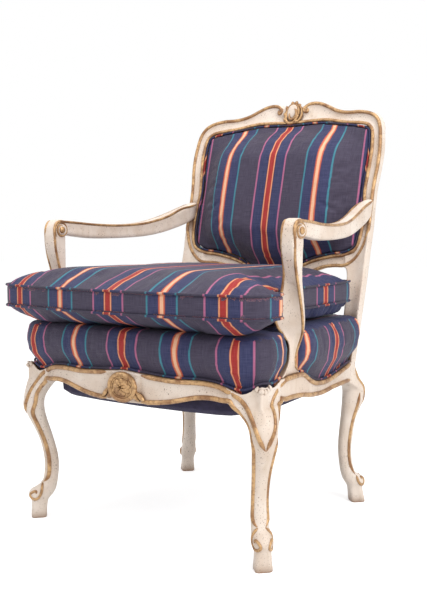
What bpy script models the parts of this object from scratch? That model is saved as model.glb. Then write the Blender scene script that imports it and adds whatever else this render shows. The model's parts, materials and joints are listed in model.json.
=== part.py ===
"""A painted open armchair with a sprung seat, a padded back and a loose T-shaped seat cushion.

Metres, +Z up. The chair faces -Y, and +X is on the viewer's right. The pieces are modelled round the
middle of the four feet, and at the end one empty moves them all so that the origin lies on the floor
at the middle of the whole chair's box.
"""
import math
from bisect import bisect_right

import bmesh
import bpy
import numpy as np
from mathutils import Matrix, Vector

# Driving dimensions of the show frame
FRONT_FEET_WIDTH = 0.590       # between the centres of the front feet
REAR_FEET_WIDTH = 0.498        # between the centres of the rear feet
FEET_DEPTH = 0.511             # from front feet to rear feet
LEG_HEIGHT = 0.300             # floor to the seat rails' lower edge
RAIL_DEPTH = 0.066             # height of the front rail at its middle
RAIL_THICKNESS = 0.030
REAR_RAIL_THICKNESS = 0.024
FRONT_BOW = 0.034              # how far the front rail swells forward of the knees
ARM_HEIGHT = 0.660             # floor to the top of the arm at its middle
ARM_WIDTH = 0.027
ARM_DEPTH = 0.034
VOLUTE_RADIUS = 0.0235
VOLUTE_EYE_RADIUS = 0.0125
VOLUTE_EYE_PROUD = 0.0055
BACK_HEIGHT = 0.969            # floor to the crest's two humps
BACK_HALF_WIDTH = 0.264        # middle of the back to a stile's outer side
BACK_THICKNESS = 0.028
BACK_RAKE = 0.25               # run of the back per unit of height
BACK_HOLLOW = 0.030            # how far the back's middle lies behind its stiles
BACK_FACE_Y = 0.340            # the stiles' face at the height of the pad's top
LOWER_RAIL_HEIGHT = 0.5575     # floor to the lower back rail's under edge at its ends
LOWER_RAIL_WIDTH = 0.030
BEAD_WIDTH = 0.006
BEAD_HEIGHT = 0.002
FIELD_HOLLOW = 0.003

# Joints of the frame
JOINT_GAP = 0.0003
TENON_LENGTH = 0.016
TENON_THICKNESS = 0.010
BLOCK_HEIGHT = 0.026

# Driving dimensions of the upholstery
CLOTH = 0.002
WELT_RADIUS = 0.0030
DECK_HEIGHT = 0.449            # floor to the top of the sprung seat
WEBBING_RISE = 0.0035          # seat rails' lower edge to the under side of the seat webbing
WEBBING_THICKNESS = 0.003
WEBBING_STRIP = 0.050
SPRING_RADIUS = 0.034
SPRING_WAIST = 0.024
SPRING_WIRE = 0.0018
SPRING_TURNS = 3
HESSIAN_THICKNESS = 0.0015
STUFFING_DEPTH = 0.036         # stuffing above the hessian
PAN_DROP = 0.020               # how far the bottom cover sags below the webbing
CUSHION_BOXING = 0.040         # height of the cushion's border strip
CUSHION_BELLY = 0.037          # how far its under side swells below the border
CUSHION_CROWN = 0.031          # how far its top swells above the border
CUSHION_REACH = 0.356          # middle of the feet to the cushion's front at its middle
CUSHION_EAR = 0.335            # half width in front of the arm supports
CUSHION_WAIST = 0.268          # half width between the arm supports
CUSHION_REAR = 0.212
PAD_PROUD = 0.076              # the back pad's crown in front of the frame's face
PAD_EDGE_PROUD = 0.006

FRONT_X = FRONT_FEET_WIDTH / 2
REAR_X = REAR_FEET_WIDTH / 2
FOOT_Y = FEET_DEPTH / 2
KNEE_X = FRONT_X + 0.009
KNEE_Y = -FOOT_Y - 0.0195
RAIL_TOP = LEG_HEIGHT + RAIL_DEPTH
WEBBING_HEIGHT = LEG_HEIGHT + WEBBING_RISE
FRONT_SEAM_X = FRONT_X - 0.060
SIDE_SEAM_Y = -FOOT_Y + 0.0555
POST_INNER_X = BACK_HALF_WIDTH - 0.0415
ROUND = 20


def smooth_at(table, x):
    """Read a smooth curve through rows of (x, value, ...) at x."""
    keys = [row[0] for row in table]
    values = np.array([row[1:] for row in table], float)
    x = min(max(x, keys[0]), keys[-1])
    last = len(keys) - 1
    i = min(max(bisect_right(keys, x) - 1, 0), last - 1)

    def slope(k):
        low = max(k - 1, 0)
        high = min(k + 1, last)
        return (values[high] - values[low]) / (keys[high] - keys[low])

    span = keys[i + 1] - keys[i]
    t = (x - keys[i]) / span
    value = ((2 * t**3 - 3 * t**2 + 1) * values[i] + (t**3 - 2 * t**2 + t) * span * slope(i)
             + (3 * t**2 - 2 * t**3) * values[i + 1] + (t**3 - t**2) * span * slope(i + 1))
    return float(value[0]) if len(value) == 1 else value


def smooth_path(points, count):
    """Give count points spaced by chord length along a smooth curve through points."""
    points = np.array(points, float)
    steps = np.concatenate([[0.0], np.cumsum(np.linalg.norm(np.diff(points, axis=0), axis=1))])
    table = [(step, *point) for step, point in zip(steps, points)]
    return [np.array(smooth_at(table, step)) for step in np.linspace(0, steps[-1], count)]


def ease(x, low, high):
    """Rise smoothly from 0 at low to 1 at high."""
    t = min(max((x - low) / (high - low), 0.0), 1.0)
    return t * t * (3 - 2 * t)


def new_material(name, colour, roughness, metallic=0.0):
    material = bpy.data.materials.new(name)
    material.use_nodes = True
    shader = material.node_tree.nodes["Principled BSDF"]
    shader.inputs["Base Color"].default_value = (*colour, 1.0)
    shader.inputs["Roughness"].default_value = roughness
    shader.inputs["Metallic"].default_value = metallic
    material.diffuse_color = (*colour, 1.0)
    return material


for old in list(bpy.data.objects):
    bpy.data.objects.remove(old, do_unlink=True)

CHAIR = bpy.data.collections.new("open_armchair")
CUTTERS = bpy.data.collections.new("cutters")
bpy.context.scene.collection.children.link(CHAIR)
bpy.context.scene.collection.children.link(CUTTERS)
ORIGIN = bpy.data.objects.new("chair_origin", None)
CUSHION_SLIDE = bpy.data.objects.new("cushion_slide", None)
CHAIR.objects.link(ORIGIN)
CHAIR.objects.link(CUSHION_SLIDE)
CUSHION_SLIDE.parent = ORIGIN

PAINT = new_material("cream_paint", (0.80, 0.72, 0.60), 0.45)
BARE_WOOD = new_material("beech", (0.52, 0.36, 0.22), 0.6)
STRIPE = new_material("striped_cloth", (0.09, 0.075, 0.14), 0.75)
PIPING = new_material("welt_cloth", (0.12, 0.09, 0.16), 0.75)
DARK_CLOTH = new_material("dark_cloth", (0.05, 0.04, 0.09), 0.9)
JUTE = new_material("jute", (0.45, 0.33, 0.19), 0.9)
FILLING = new_material("filling", (0.78, 0.74, 0.66), 0.95)
STEEL = new_material("spring_steel", (0.45, 0.46, 0.48), 0.35, 1.0)
BRASS = new_material("brass", (0.72, 0.53, 0.24), 0.35, 1.0)


def add_object(name, data, material, smooth_angle=35):
    data.materials.append(material)
    item = bpy.data.objects.new(name, data)
    CHAIR.objects.link(item)
    item.parent = ORIGIN
    if isinstance(data, bpy.types.Mesh):
        data.shade_smooth()
        data.set_sharp_from_angle(angle=math.radians(smooth_angle))
    return item


def add_mesh(name, bm, material):
    """Add a mesh whose four-sided faces are all split alike, so that nested skins stay parallel."""
    quads = [face for face in bm.faces if len(face.verts) == 4]
    bmesh.ops.triangulate(bm, faces=quads, quad_method='FIXED')
    bmesh.ops.recalc_face_normals(bm, faces=bm.faces)
    mesh = bpy.data.meshes.new(name)
    bm.to_mesh(mesh)
    bm.free()
    return add_object(name, mesh, material)


def skin(bm, rings, start="fan", end="fan"):
    """Skin a row of closed rings of equal count; an end is a fan, one flat face, or open."""
    loops = [[bm.verts.new(point) for point in ring] for ring in rings]
    count = len(loops[0])
    for low, high in zip(loops, loops[1:]):
        for i in range(count):
            j = (i + 1) % count
            bm.faces.new((low[i], low[j], high[j], high[i]))
    for loop, kind in ((loops[0], start), (loops[-1], end)):
        if kind == "flat":
            bm.faces.new(loop)
        elif kind == "fan":
            middle = bm.verts.new(sum((v.co for v in loop), Vector()) / count)
            for i in range(count):
                bm.faces.new((loop[i], loop[(i + 1) % count], middle))
    return loops


def loft(name, rings, material, start="fan", end="fan"):
    bm = bmesh.new()
    skin(bm, rings, start, end)
    return add_mesh(name, bm, material)


def mirrored(item, name):
    """Copy a right-hand piece to the left of the chair's middle plane."""
    bm = bmesh.new()
    bm.from_mesh(item.data)
    bmesh.ops.triangulate(bm, faces=bm.faces)
    bm.to_mesh(item.data)
    bmesh.ops.scale(bm, vec=(-1, 1, 1), verts=bm.verts)
    return add_mesh(name, bm, item.data.materials[0])


def boolean(item, other, operation):
    """Apply a Boolean to item and remove the other object."""
    modifier = item.modifiers.new(operation.lower(), 'BOOLEAN')
    modifier.operation = operation
    modifier.object = other
    modifier.solver = 'EXACT'
    bpy.context.view_layer.update()
    evaluated = item.evaluated_get(bpy.context.evaluated_depsgraph_get())
    mesh = bpy.data.meshes.new_from_object(evaluated)
    item.modifiers.clear()
    old = item.data
    item.data = mesh
    mesh.name = old.name
    bpy.data.meshes.remove(old)
    bpy.data.objects.remove(other, do_unlink=True)


def tool_object(bm):
    """Keep a mesh as a tool for a Boolean, which the finished chair leaves out."""
    bmesh.ops.recalc_face_normals(bm, faces=bm.faces)
    mesh = bpy.data.meshes.new("tool")
    bm.to_mesh(mesh)
    bm.free()
    item = bpy.data.objects.new("tool", mesh)
    item.hide_render = True
    item.display_type = 'WIRE'
    CUTTERS.objects.link(item)
    return item


def oriented_box(centre, size, turn=Matrix()):
    bm = bmesh.new()
    bmesh.ops.create_cube(bm, size=1.0)
    bmesh.ops.transform(bm, matrix=Matrix.Translation(centre) @ turn @ Matrix.Diagonal((*size, 1)),
                        verts=bm.verts)
    return tool_object(bm)


def prism(outline, travel):
    """A flat outline pushed along a vector into a solid."""
    bm = bmesh.new()
    bm.faces.new([bm.verts.new(point) for point in outline])
    body = bmesh.ops.extrude_face_region(bm, geom=list(bm.faces))
    moved = [v for v in body["geom"] if isinstance(v, bmesh.types.BMVert)]
    bmesh.ops.translate(bm, vec=travel, verts=moved)
    return bm


def tenon(piece, socket, root, along, across, turn_axis=None, both_ends=False):
    """Grow a tenon out of piece at root, along a unit vector, and cut its mortise in socket.

    across is the tenon's height and thickness, measured along turn_axis and square to it. A rail that
    spans the chair gets its other tenon as a mirror image, because its other socket is mirrored too.
    """
    along = Vector(along).normalized()
    upward = Vector(turn_axis if turn_axis else (0, 0, 1))
    upward = (upward - along * upward.dot(along)).normalized()
    turn = Matrix((along, upward, along.cross(upward))).transposed().to_4x4()
    hidden = 0.006
    middle = Vector(root) + along * (TENON_LENGTH - hidden) / 2
    size = Vector((TENON_LENGTH + hidden, *across))
    slack = Vector((2 * JOINT_GAP, 2 * JOINT_GAP, 2 * JOINT_GAP))
    boolean(socket, oriented_box(middle, size + slack, turn), 'DIFFERENCE')
    boolean(piece, oriented_box(middle, size, turn), 'UNION')
    if both_ends:
        flip = Matrix.Diagonal((-1, 1, 1, 1))
        boolean(piece, oriented_box(flip @ middle, size, flip @ turn), 'UNION')


def superellipse(angle, power):
    c = math.cos(angle)
    s = math.sin(angle)
    return (math.copysign(abs(c)**(2 / power), c), math.copysign(abs(s)**(2 / power), s))


def leg_ring(foot, outward, across, outer, inner, half_width, z, power):
    """One ring of a cabriole leg, whose bend lies in the upright plane along outward."""
    ring = []
    for k in range(ROUND):
        s, t = superellipse(2 * math.pi * k / ROUND, power)
        bead = 1.07 if k in (4, ROUND - 4) else 1.0
        flat = (outer + inner) / 2 + s * (outer - inner) / 2
        point = np.array(foot) + flat * np.array(outward) + t * bead * half_width * np.array(across)
        ring.append((*point, z))
    return ring


# height, outer side, inner side, half width, squareness; along the leg's diagonal from the foot's middle
FRONT_LEG = [
    (0.000, 0.0175, -0.0165, 0.0170, 5.0), (0.036, 0.0160, -0.0190, 0.0148, 3.6),
    (0.046, 0.0205, -0.0270, 0.0170, 2.4),
    (0.054, 0.0225, -0.0330, 0.0188, 2.2), (0.062, 0.0180, -0.0375, 0.0185, 2.2),
    (0.070, 0.0040, -0.0395, 0.0178, 2.2), (0.082, -0.0090, -0.0420, 0.0168, 2.2),
    (0.112, -0.0138, -0.0452, 0.0146, 2.3), (0.142, -0.0122, -0.0432, 0.0141, 2.3),
    (0.172, -0.0055, -0.0358, 0.0151, 2.3), (0.197, 0.0040, -0.0285, 0.0170, 2.3),
    (0.222, 0.0165, -0.0205, 0.0195, 2.3),
    (0.247, 0.0275, -0.0150, 0.0222, 2.3), (0.272, 0.0300, -0.0160, 0.0250, 2.3),
    (0.300, 0.0265, -0.0240, 0.0275, 2.3), (0.330, 0.0210, -0.0300, 0.0290, 2.3),
]
REAR_LEG = [
    (0.000, 0.0175, -0.0170, 0.0170, 5.0), (0.032, 0.0115, -0.0215, 0.0146, 3.6),
    (0.042, 0.0145, -0.0260, 0.0168, 2.4),
    (0.051, 0.0160, -0.0320, 0.0188, 2.2), (0.059, 0.0130, -0.0360, 0.0185, 2.2),
    (0.067, 0.0000, -0.0385, 0.0178, 2.2), (0.078, -0.0090, -0.0413, 0.0168, 2.2),
    (0.109, -0.0152, -0.0457, 0.0147, 2.3), (0.139, -0.0154, -0.0470, 0.0141, 2.3),
    (0.170, -0.0113, -0.0447, 0.0151, 2.3), (0.196, -0.0077, -0.0421, 0.0169, 2.3),
    (0.219, 0.0000, -0.0395, 0.0192, 2.3),
    (0.243, 0.0105, -0.0380, 0.0220, 2.3), (0.272, 0.0130, -0.0370, 0.0240, 2.3),
    (0.300, 0.0060, -0.0380, 0.0250, 2.3), (0.330, 0.0000, -0.0400, 0.0250, 2.3),
]
LEG_DRAWN = 0.300              # the height that both leg tables are drawn for
LEG_ROWS = 14                  # rows of the tables below the knee, where the plan is still round


def front_face_y(x):
    """The front rail's face, bowed between the knees."""
    return KNEE_Y - FRONT_BOW * (1 - (x / (KNEE_X - 0.024))**2)


def back_face_y(x, z):
    """The front face of the back frame: raked, and hollow between the stiles."""
    drawn_height = BACK_HEIGHT - 0.053
    return BACK_FACE_Y + BACK_RAKE * (z - drawn_height) + BACK_HOLLOW * (1 - (x / BACK_HALF_WIDTH)**2)


def side_rail_end_y(z):
    """Where a side rail meets the raked face of the back post."""
    return back_face_y(BACK_HALF_WIDTH - 0.015, z) - BEAD_HEIGHT - JOINT_GAP


SIDE_REAR_Y = side_rail_end_y(LEG_HEIGHT + 0.0225)


def side_share(y):
    return (y - SIDE_SEAM_Y) / (SIDE_REAR_Y - SIDE_SEAM_Y)


def side_face_x(y):
    """The side rail's outer face, which narrows towards the back."""
    front = FRONT_X + 0.005
    rear = BACK_HALF_WIDTH - 0.0025
    return front + (rear - front) * side_share(y)


SUPPORT_LANDING = -0.0065      # the flat on the side rail's upper edge, where the arm support stands

# across, lower edge below LEG_HEIGHT + table, upper edge below RAIL_TOP
FRONT_RAIL_EDGES = [
    (0.000, 0.002, 0.000), (0.055, 0.003, -0.005), (0.108, 0.009, -0.009), (0.142, 0.017, -0.009),
    (0.175, 0.024, -0.008), (0.205, 0.025, -0.010), (0.235, 0.019, -0.018),
]
SIDE_RAIL_EDGES = [
    (-0.200, 0.013, -0.0075), (-0.165, 0.015, -0.005), (-0.120, 0.013, -0.005), (-0.085, 0.009, -0.010),
    (-0.050, 0.003, -0.029), (-0.015, 0.000, -0.038), (0.020, -0.002, -0.041), (0.065, 0.000, -0.040),
    (0.110, 0.001, -0.034), (0.150, 0.001, -0.028), (0.190, 0.000, -0.022),
]


def front_rail_edges(x):
    low, high = smooth_at(FRONT_RAIL_EDGES, abs(x) * 0.235 / FRONT_SEAM_X)
    return LEG_HEIGHT + low, RAIL_TOP + high


def side_rail_edges(y):
    low, high = smooth_at(SIDE_RAIL_EDGES, -0.200 + side_share(y) * 0.390)
    return LEG_HEIGHT + low, RAIL_TOP + min(high, SUPPORT_LANDING)


def front_rim(x):
    """Height of the frame's upper edge along the front, up to the point over the knee."""
    seam_high = front_rail_edges(FRONT_SEAM_X)[1]
    if abs(x) <= FRONT_SEAM_X:
        return front_rail_edges(x)[1]
    share = (abs(x) - FRONT_SEAM_X) / (KNEE_X - FRONT_SEAM_X)
    return smooth_at([(0, seam_high), (0.45, RAIL_TOP - 0.026), (1, RAIL_TOP - 0.001)], share)


def side_rim(y):
    """Height of the frame's upper edge along the side, from the point over the knee back."""
    seam_high = side_rail_edges(SIDE_SEAM_Y)[1]
    if y >= SIDE_SEAM_Y:
        return side_rail_edges(y)[1]
    share = (SIDE_SEAM_Y - y) / (SIDE_SEAM_Y - KNEE_Y)
    return smooth_at([(0, seam_high), (0.5, RAIL_TOP - 0.016), (1, RAIL_TOP - 0.001)], share)


def moulded_ring(lower, upper, outward, thickness, rows=1, relief=None, depth_axis=None):
    """A ring across a rail: a bead along each edge, a hollow field between them, a flat back."""
    lower = Vector(lower)
    upper = Vector(upper)
    outward = Vector(outward).normalized()
    back = Vector(depth_axis).normalized() if depth_axis else outward
    span = (upper - lower).length
    rise = (upper - lower) / span
    face = [(0, 0), (BEAD_WIDTH / 2, BEAD_HEIGHT), (BEAD_WIDTH, 0)]
    for row in range(rows):
        v = BEAD_WIDTH + (span - 2 * BEAD_WIDTH) * (row + 0.5) / rows
        face.append((v, -FIELD_HOLLOW * math.sin(math.pi * (row + 0.5) / rows)))
    face += [(span - BEAD_WIDTH, 0), (span - BEAD_WIDTH / 2, BEAD_HEIGHT), (span, 0)]
    ring = []
    for v, proud in face:
        point = lower + rise * v
        extra = relief(point) if relief else 0.0
        ring.append(point + outward * (max(proud, 0) + extra if extra > 0.0005 else proud))
    for share in (1.0, 0.5, 0.0):
        ring.append(lower + rise * span * share - back * thickness)
    return ring


def medallion_relief(point):
    """Height of the front rail's carved medallion: an oval ring round a rosette of six petals."""
    middle_z = LEG_HEIGHT + 0.0315
    across = point.x / 0.038
    up = (point.z - middle_z) / 0.0295
    radius = math.hypot(across, up)
    if radius > 1.0:
        return 0.0
    petals = 0.7 + 0.3 * math.cos(6 * math.atan2(up, across))
    rosette = 0.007 * max(1 - radius / 0.72, 0.0)**0.6 * petals
    return 0.0025 + 0.0035 * math.exp(-((radius - 0.86) / 0.10)**2) + rosette


def build_front_rail():
    reach = FRONT_SEAM_X - JOINT_GAP
    plain = [reach * k / 10 for k in range(2, 11)]
    carved = [0.0056 * k for k in range(1, 8)]
    half = carved + [x for x in plain if x > carved[-1] + 0.004]
    stations = [-x for x in reversed(half)] + [0.0] + half
    rings = []
    for x in stations:
        low, high = front_rail_edges(x)
        y = front_face_y(x)
        rings.append(moulded_ring((x, y, low), (x, y, high), (0, -1, 0), RAIL_THICKNESS, 6,
                                  medallion_relief))
    return loft("front_rail", rings, PAINT)


def build_side_rail():
    start = SIDE_SEAM_Y + JOINT_GAP
    stations = 15
    rings = []
    for k in range(stations):
        share = k / (stations - 1)
        y = start + (SIDE_REAR_Y - start) * share
        low, high = side_rail_edges(y)
        ring = moulded_ring((0, y, low), (0, y, high), (1, 0, 0), RAIL_THICKNESS, 2)
        for p in ring:
            p.y = start + (side_rail_end_y(p.z) - start) * share
            p.x += side_face_x(p.y)
        rings.append(ring)
    return loft("side_rail_right", rings, PAINT)


def build_front_leg():
    """A cabriole leg whose top widens into the knee block between the front and side rails."""
    foot = (FRONT_X, -FOOT_Y)
    outward = (math.sqrt(0.5), -math.sqrt(0.5))
    across = (math.sqrt(0.5), math.sqrt(0.5))
    scale = LEG_HEIGHT / LEG_DRAWN
    side_x = side_face_x(SIDE_SEAM_Y)
    seam_y = front_face_y(FRONT_SEAM_X)
    front_points = [(FRONT_SEAM_X + (KNEE_X - FRONT_SEAM_X) * k / 5,
                     front_face_y(FRONT_SEAM_X + (KNEE_X - 0.008 - FRONT_SEAM_X) * k / 5)) for k in range(5)]
    side_points = [(side_x + (KNEE_X - 0.0005 - side_x) * k / 5,
                    SIDE_SEAM_Y + (KNEE_Y + 0.003 - SIDE_SEAM_Y) * k / 5) for k in range(5)]
    inner_seam_front = (FRONT_SEAM_X, seam_y + RAIL_THICKNESS)
    inner_seam_side = (side_x - RAIL_THICKNESS, SIDE_SEAM_Y)

    def between(a, b, share):
        return (a[0] + (b[0] - a[0]) * share, a[1] + (b[1] - a[1]) * share)

    inner = [between(inner_seam_side, inner_seam_front, k / 8) for k in range(9)]
    plan = [(KNEE_X, KNEE_Y - 0.001)] + side_points[:0:-1] + [side_points[0]] + inner
    plan += [front_points[0]] + front_points[1:]
    seam_low_front = front_rail_edges(FRONT_SEAM_X)[0]
    seam_low_side = side_rail_edges(SIDE_SEAM_Y)[0]
    side_share = [0, 0.1, 0.35, 0.6, 0.85, 1.0] + [1 - k / 8 for k in range(9)] + [0.0] * 5

    def edge_heights(k):
        """Lower and upper height of the block at ring point k, between the two seams and the knee."""
        along = side_share[k] if k > 0 else 0.0
        if k >= 15:
            return seam_low_front, front_rim(FRONT_SEAM_X + (KNEE_X - FRONT_SEAM_X) * (k - 15) / 5)
        if k <= 5:
            return seam_low_side, side_rim(KNEE_Y + (SIDE_SEAM_Y - KNEE_Y) * k / 5)
        low = seam_low_front + (seam_low_side - seam_low_front) * along
        return low, RAIL_TOP - 0.030

    rings = []
    for height, outer, inner_side, half, power in FRONT_LEG[:LEG_ROWS]:
        rings.append(leg_ring(foot, outward, across, outer, inner_side, half, height * scale, power))
    knee_z = FRONT_LEG[LEG_ROWS - 1][0] * scale
    block_low = LEG_HEIGHT + 0.0165
    for share, mix in ((0.40, 0.16), (0.70, 0.42), (0.92, 0.80)):
        z = knee_z + (block_low - knee_z) * share
        row = smooth_at(FRONT_LEG, z / scale)
        round_ring = leg_ring(foot, outward, across, row[0], row[1], row[2], z, row[3])
        rings.append([(p[0] + (q[0] - p[0]) * mix, p[1] + (q[1] - p[1]) * mix, z)
                      for p, q in zip(round_ring, plan)])
    for share, proud in ((0.0, 0.0), (0.35, -0.001), (0.82, 0.0), (0.91, BEAD_HEIGHT), (1.0, 0.0)):
        ring = []
        for k, (x, y) in enumerate(plan):
            low, high = edge_heights(k)
            push_x = proud if 0 < k < 5 else 0.0
            push_y = -proud if 15 < k else 0.0
            if k == 0:
                push_x = proud * 0.7
                push_y = -proud * 0.7
            ring.append((x + push_x, y + push_y, low + (high - low) * share))
        rings.append(ring)
    middle = (sum(p[0] for p in plan) / ROUND, sum(p[1] for p in plan) / ROUND)
    rings.append([(*between(p, middle, 0.45), RAIL_TOP - 0.033) for p in plan])
    return loft("front_leg_right", rings, PAINT, end="flat")


# height, inner side and outer side of the stile, from BACK_HALF_WIDTH inwards
STILE = [
    (0.300, 0.0415, 0.006), (0.345, 0.0415, 0.006), (0.400, 0.0430, 0.004), (0.460, 0.0450, 0.002),
    (0.520, 0.0470, 0.000), (0.545, 0.0490, 0.000), (0.556, 0.0580, 0.000), (0.5585, 0.0587, 0.000),
    (0.586, 0.0587, 0.000), (0.5885, 0.0575, 0.000), (0.596, 0.0400, 0.000), (0.606, 0.0310, 0.000),
    (0.620, 0.0255, -0.001), (0.645, 0.0240, -0.001), (0.690, 0.0240, 0.000), (0.730, 0.0290, 0.001),
    (0.760, 0.0285, -0.001), (0.800, 0.0240, -0.005), (0.840, 0.0220, -0.006), (0.868, 0.0235, -0.004),
    (0.885, 0.0270, 0.000),
]
STILE_DRAWN_LOWER = 0.5575
STILE_DRAWN_TOP = 0.969
STILE_TOP = BACK_HEIGHT - 0.084
# heights of the stile's stations above the lower rail, where the upholstery follows them
STILE_HEIGHTS = [LOWER_RAIL_HEIGHT + rise for rise in (0.040, 0.052)]
STILE_HEIGHTS += [float(z) for z in np.linspace(LOWER_RAIL_HEIGHT + 0.086, STILE_TOP, 6)]


def stile_edges(z):
    """Inner and outer x of the right-hand stile, which bends round the lower rail's end."""
    low = LOWER_RAIL_HEIGHT
    if z < low:
        drawn = 0.345 + (z - LEG_HEIGHT - 0.045) * (STILE_DRAWN_LOWER - 0.345) / (low - LEG_HEIGHT - 0.045)
    elif z < low + 0.063:
        drawn = z - low + STILE_DRAWN_LOWER
    else:
        rise = (0.885 - 0.6205) / (STILE_TOP - low - 0.063)
        drawn = 0.6205 + (z - low - 0.063) * rise
    inner, outer = smooth_at(STILE, drawn)
    return BACK_HALF_WIDTH - inner, BACK_HALF_WIDTH - outer


def stile_ring(z, bead=1.0):
    """A ring across the back post: a bead on both front corners, and rounded rear corners."""
    inner, outer = stile_edges(z)
    proud = BEAD_HEIGHT * bead
    round_off = 0.006
    plan = [(outer - round_off * 0.3, BACK_THICKNESS - round_off * 0.3),
            (outer, BACK_THICKNESS - round_off), (outer, BACK_THICKNESS * 0.55),
            (outer, BACK_THICKNESS * 0.25), (outer, 0.0), (outer - BEAD_WIDTH / 2, -proud),
            (outer - BEAD_WIDTH, 0.0), (outer + (inner - outer) * 0.40, FIELD_HOLLOW * 0.8),
            (outer + (inner - outer) * 0.60, FIELD_HOLLOW * 0.8), (inner + BEAD_WIDTH, 0.0),
            (inner + BEAD_WIDTH / 2, -proud), (inner, 0.0), (inner, BACK_THICKNESS * 0.25),
            (inner, BACK_THICKNESS * 0.55), (inner, BACK_THICKNESS - round_off),
            (inner + round_off * 0.3, BACK_THICKNESS - round_off * 0.3),
            (inner + round_off, BACK_THICKNESS), (inner + (outer - inner) * 0.4, BACK_THICKNESS),
            (inner + (outer - inner) * 0.6, BACK_THICKNESS), (outer - round_off, BACK_THICKNESS)]
    return [(x, back_face_y(x, z) + depth, z) for x, depth in plan]


def build_back_post():
    """The rear cabriole leg and the back stile, in one piece."""
    foot = (REAR_X, FOOT_Y)
    outward = (math.sqrt(0.5), math.sqrt(0.5))
    across = (math.sqrt(0.5), -math.sqrt(0.5))
    scale = LEG_HEIGHT / LEG_DRAWN
    rings = []
    for height, outer, inner, half, power in REAR_LEG[:LEG_ROWS]:
        rings.append(leg_ring(foot, outward, across, outer, inner, half, height * scale, power))
    for rise in (-0.015, -0.004, 0.008, 0.024, 0.042):
        z = LEG_HEIGHT + rise
        row = smooth_at(REAR_LEG, z / scale)
        round_ring = leg_ring(foot, outward, across, row[0], row[1], row[2], z, row[3])
        ring = []
        for k, (p, q) in enumerate(zip(round_ring, stile_ring(z, 0.0))):
            outer_corner = k in (0, 1, 2, ROUND - 1, ROUND - 2)
            mix = ease(rise, -0.028, 0.044) if outer_corner else ease(rise, -0.028, 0.002)
            ring.append((p[0] + (q[0] - p[0]) * mix, p[1] + (q[1] - p[1]) * mix, z))
        rings.append(ring)
    low = LOWER_RAIL_HEIGHT
    heights = list(np.linspace(LEG_HEIGHT + 0.085, low - 0.016, 3)) + [low - 0.002, low + 0.002]
    heights += [low + LOWER_RAIL_WIDTH - 0.002, low + LOWER_RAIL_WIDTH + 0.002] + STILE_HEIGHTS
    for z in heights:
        rings.append(stile_ring(z, ease(z, low - 0.06, low)))
    return loft("back_post_right", rings, PAINT)


# across, inner edge and outer edge below BACK_HEIGHT, for the right half from the middle out
CREST_INNER = [(0.000, -0.054), (0.058, -0.052), (0.100, -0.052), (0.158, -0.062), (0.205, -0.067),
               (0.229, -0.074), (0.237, -0.084)]
CREST_OUTER = [(0.000, -0.014), (0.018, -0.014), (0.034, -0.006), (0.048, -0.0005), (0.060, 0.000),
               (0.079, -0.003), (0.100, -0.012), (0.125, -0.024), (0.160, -0.033), (0.205, -0.035),
               (0.240, -0.045), (0.257, -0.063), (0.264, -0.084)]
CREST_DRAWN_HALF = 0.264


def cartouche_relief(x, drop):
    """Height of the crest's carved cartouche: an oval boss in a ring, with a leaf on either side."""
    across = x / 0.019
    up = (drop + 0.024) / 0.0225
    radius = math.hypot(across, up)
    boss = 0.006 * math.sqrt(max(1 - (radius / 0.62)**2, 0.0))
    ring = 0.0065 * math.exp(-((radius - 0.82) / 0.14)**2)
    leaf = 0.0045 * math.exp(-((abs(x) - 0.036) / 0.010)**2 - ((drop + 0.016) / 0.012)**2)
    return boss + ring + leaf


def build_crest_rail():
    """The crest, lofted from one shoulder over both humps to the other."""
    count = 16
    inner_path = smooth_path(CREST_INNER, count)
    outer_path = smooth_path(CREST_OUTER, count)
    stretch = BACK_HALF_WIDTH / CREST_DRAWN_HALF
    half = []
    for k, (inner, outer) in enumerate(zip(inner_path, outer_path)):
        a = [inner[0] * stretch, BACK_HEIGHT + inner[1]]
        b = [outer[0] * stretch, BACK_HEIGHT + outer[1]]
        if k == count - 1:
            a[0], b[0] = stile_edges(STILE_TOP)
            a[1] = b[1] = STILE_TOP + JOINT_GAP
        half.append((a, b))
    pairs = [((-a[0], a[1]), (-b[0], b[1])) for a, b in reversed(half[1:])] + half
    rings = []
    rows = 5
    for a, b in pairs:
        low = Vector((a[0], back_face_y(a[0], a[1]), a[1]))
        high = Vector((b[0], back_face_y(b[0], b[1]), b[1]))
        rings.append(moulded_ring(low, high, (0, -1, 0), BACK_THICKNESS, rows,
                                  lambda p: cartouche_relief(p.x, p.z - BACK_HEIGHT), (0, -1, 0)))
    return loft("crest_rail", rings, PAINT)


# across, upper edge and lower edge below the lower rail's ends
LOWER_RAIL_EDGES = [
    (0.000, -0.0275, -0.0475), (0.040, -0.0225, -0.0400), (0.070, -0.0030, -0.0310), (0.097, 0.0100, -0.0205),
    (0.124, 0.0185, -0.0125), (0.150, 0.0245, -0.0025), (0.175, 0.0290, -0.0005), (0.205, 0.0300, 0.0000),
]


LOWER_RAIL_REACH = POST_INNER_X - 0.0172 - JOINT_GAP
LOWER_RAIL_STEPS = 7           # stations from its middle to its end


def lower_rail_top(x):
    above, below = smooth_at(LOWER_RAIL_EDGES, abs(x) * 0.205 / LOWER_RAIL_REACH)
    return LOWER_RAIL_HEIGHT + below + (above - below) * LOWER_RAIL_WIDTH / 0.030


def build_lower_back_rail():
    reach = LOWER_RAIL_REACH
    rings = []
    for k in range(-LOWER_RAIL_STEPS, LOWER_RAIL_STEPS + 1):
        x = reach * k / LOWER_RAIL_STEPS
        z_low = LOWER_RAIL_HEIGHT + smooth_at(LOWER_RAIL_EDGES, abs(x) * 0.205 / reach)[1]
        z_high = lower_rail_top(x)
        rings.append(moulded_ring((x, back_face_y(x, z_low), z_low), (x, back_face_y(x, z_high), z_high),
                                  (0, -1, 0), BACK_THICKNESS, 1, None, (0, -1, 0)))
    return loft("lower_back_rail", rings, PAINT)


REAR_RAIL_Y = back_face_y(POST_INNER_X, LEG_HEIGHT + 0.02) + 0.004


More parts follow.
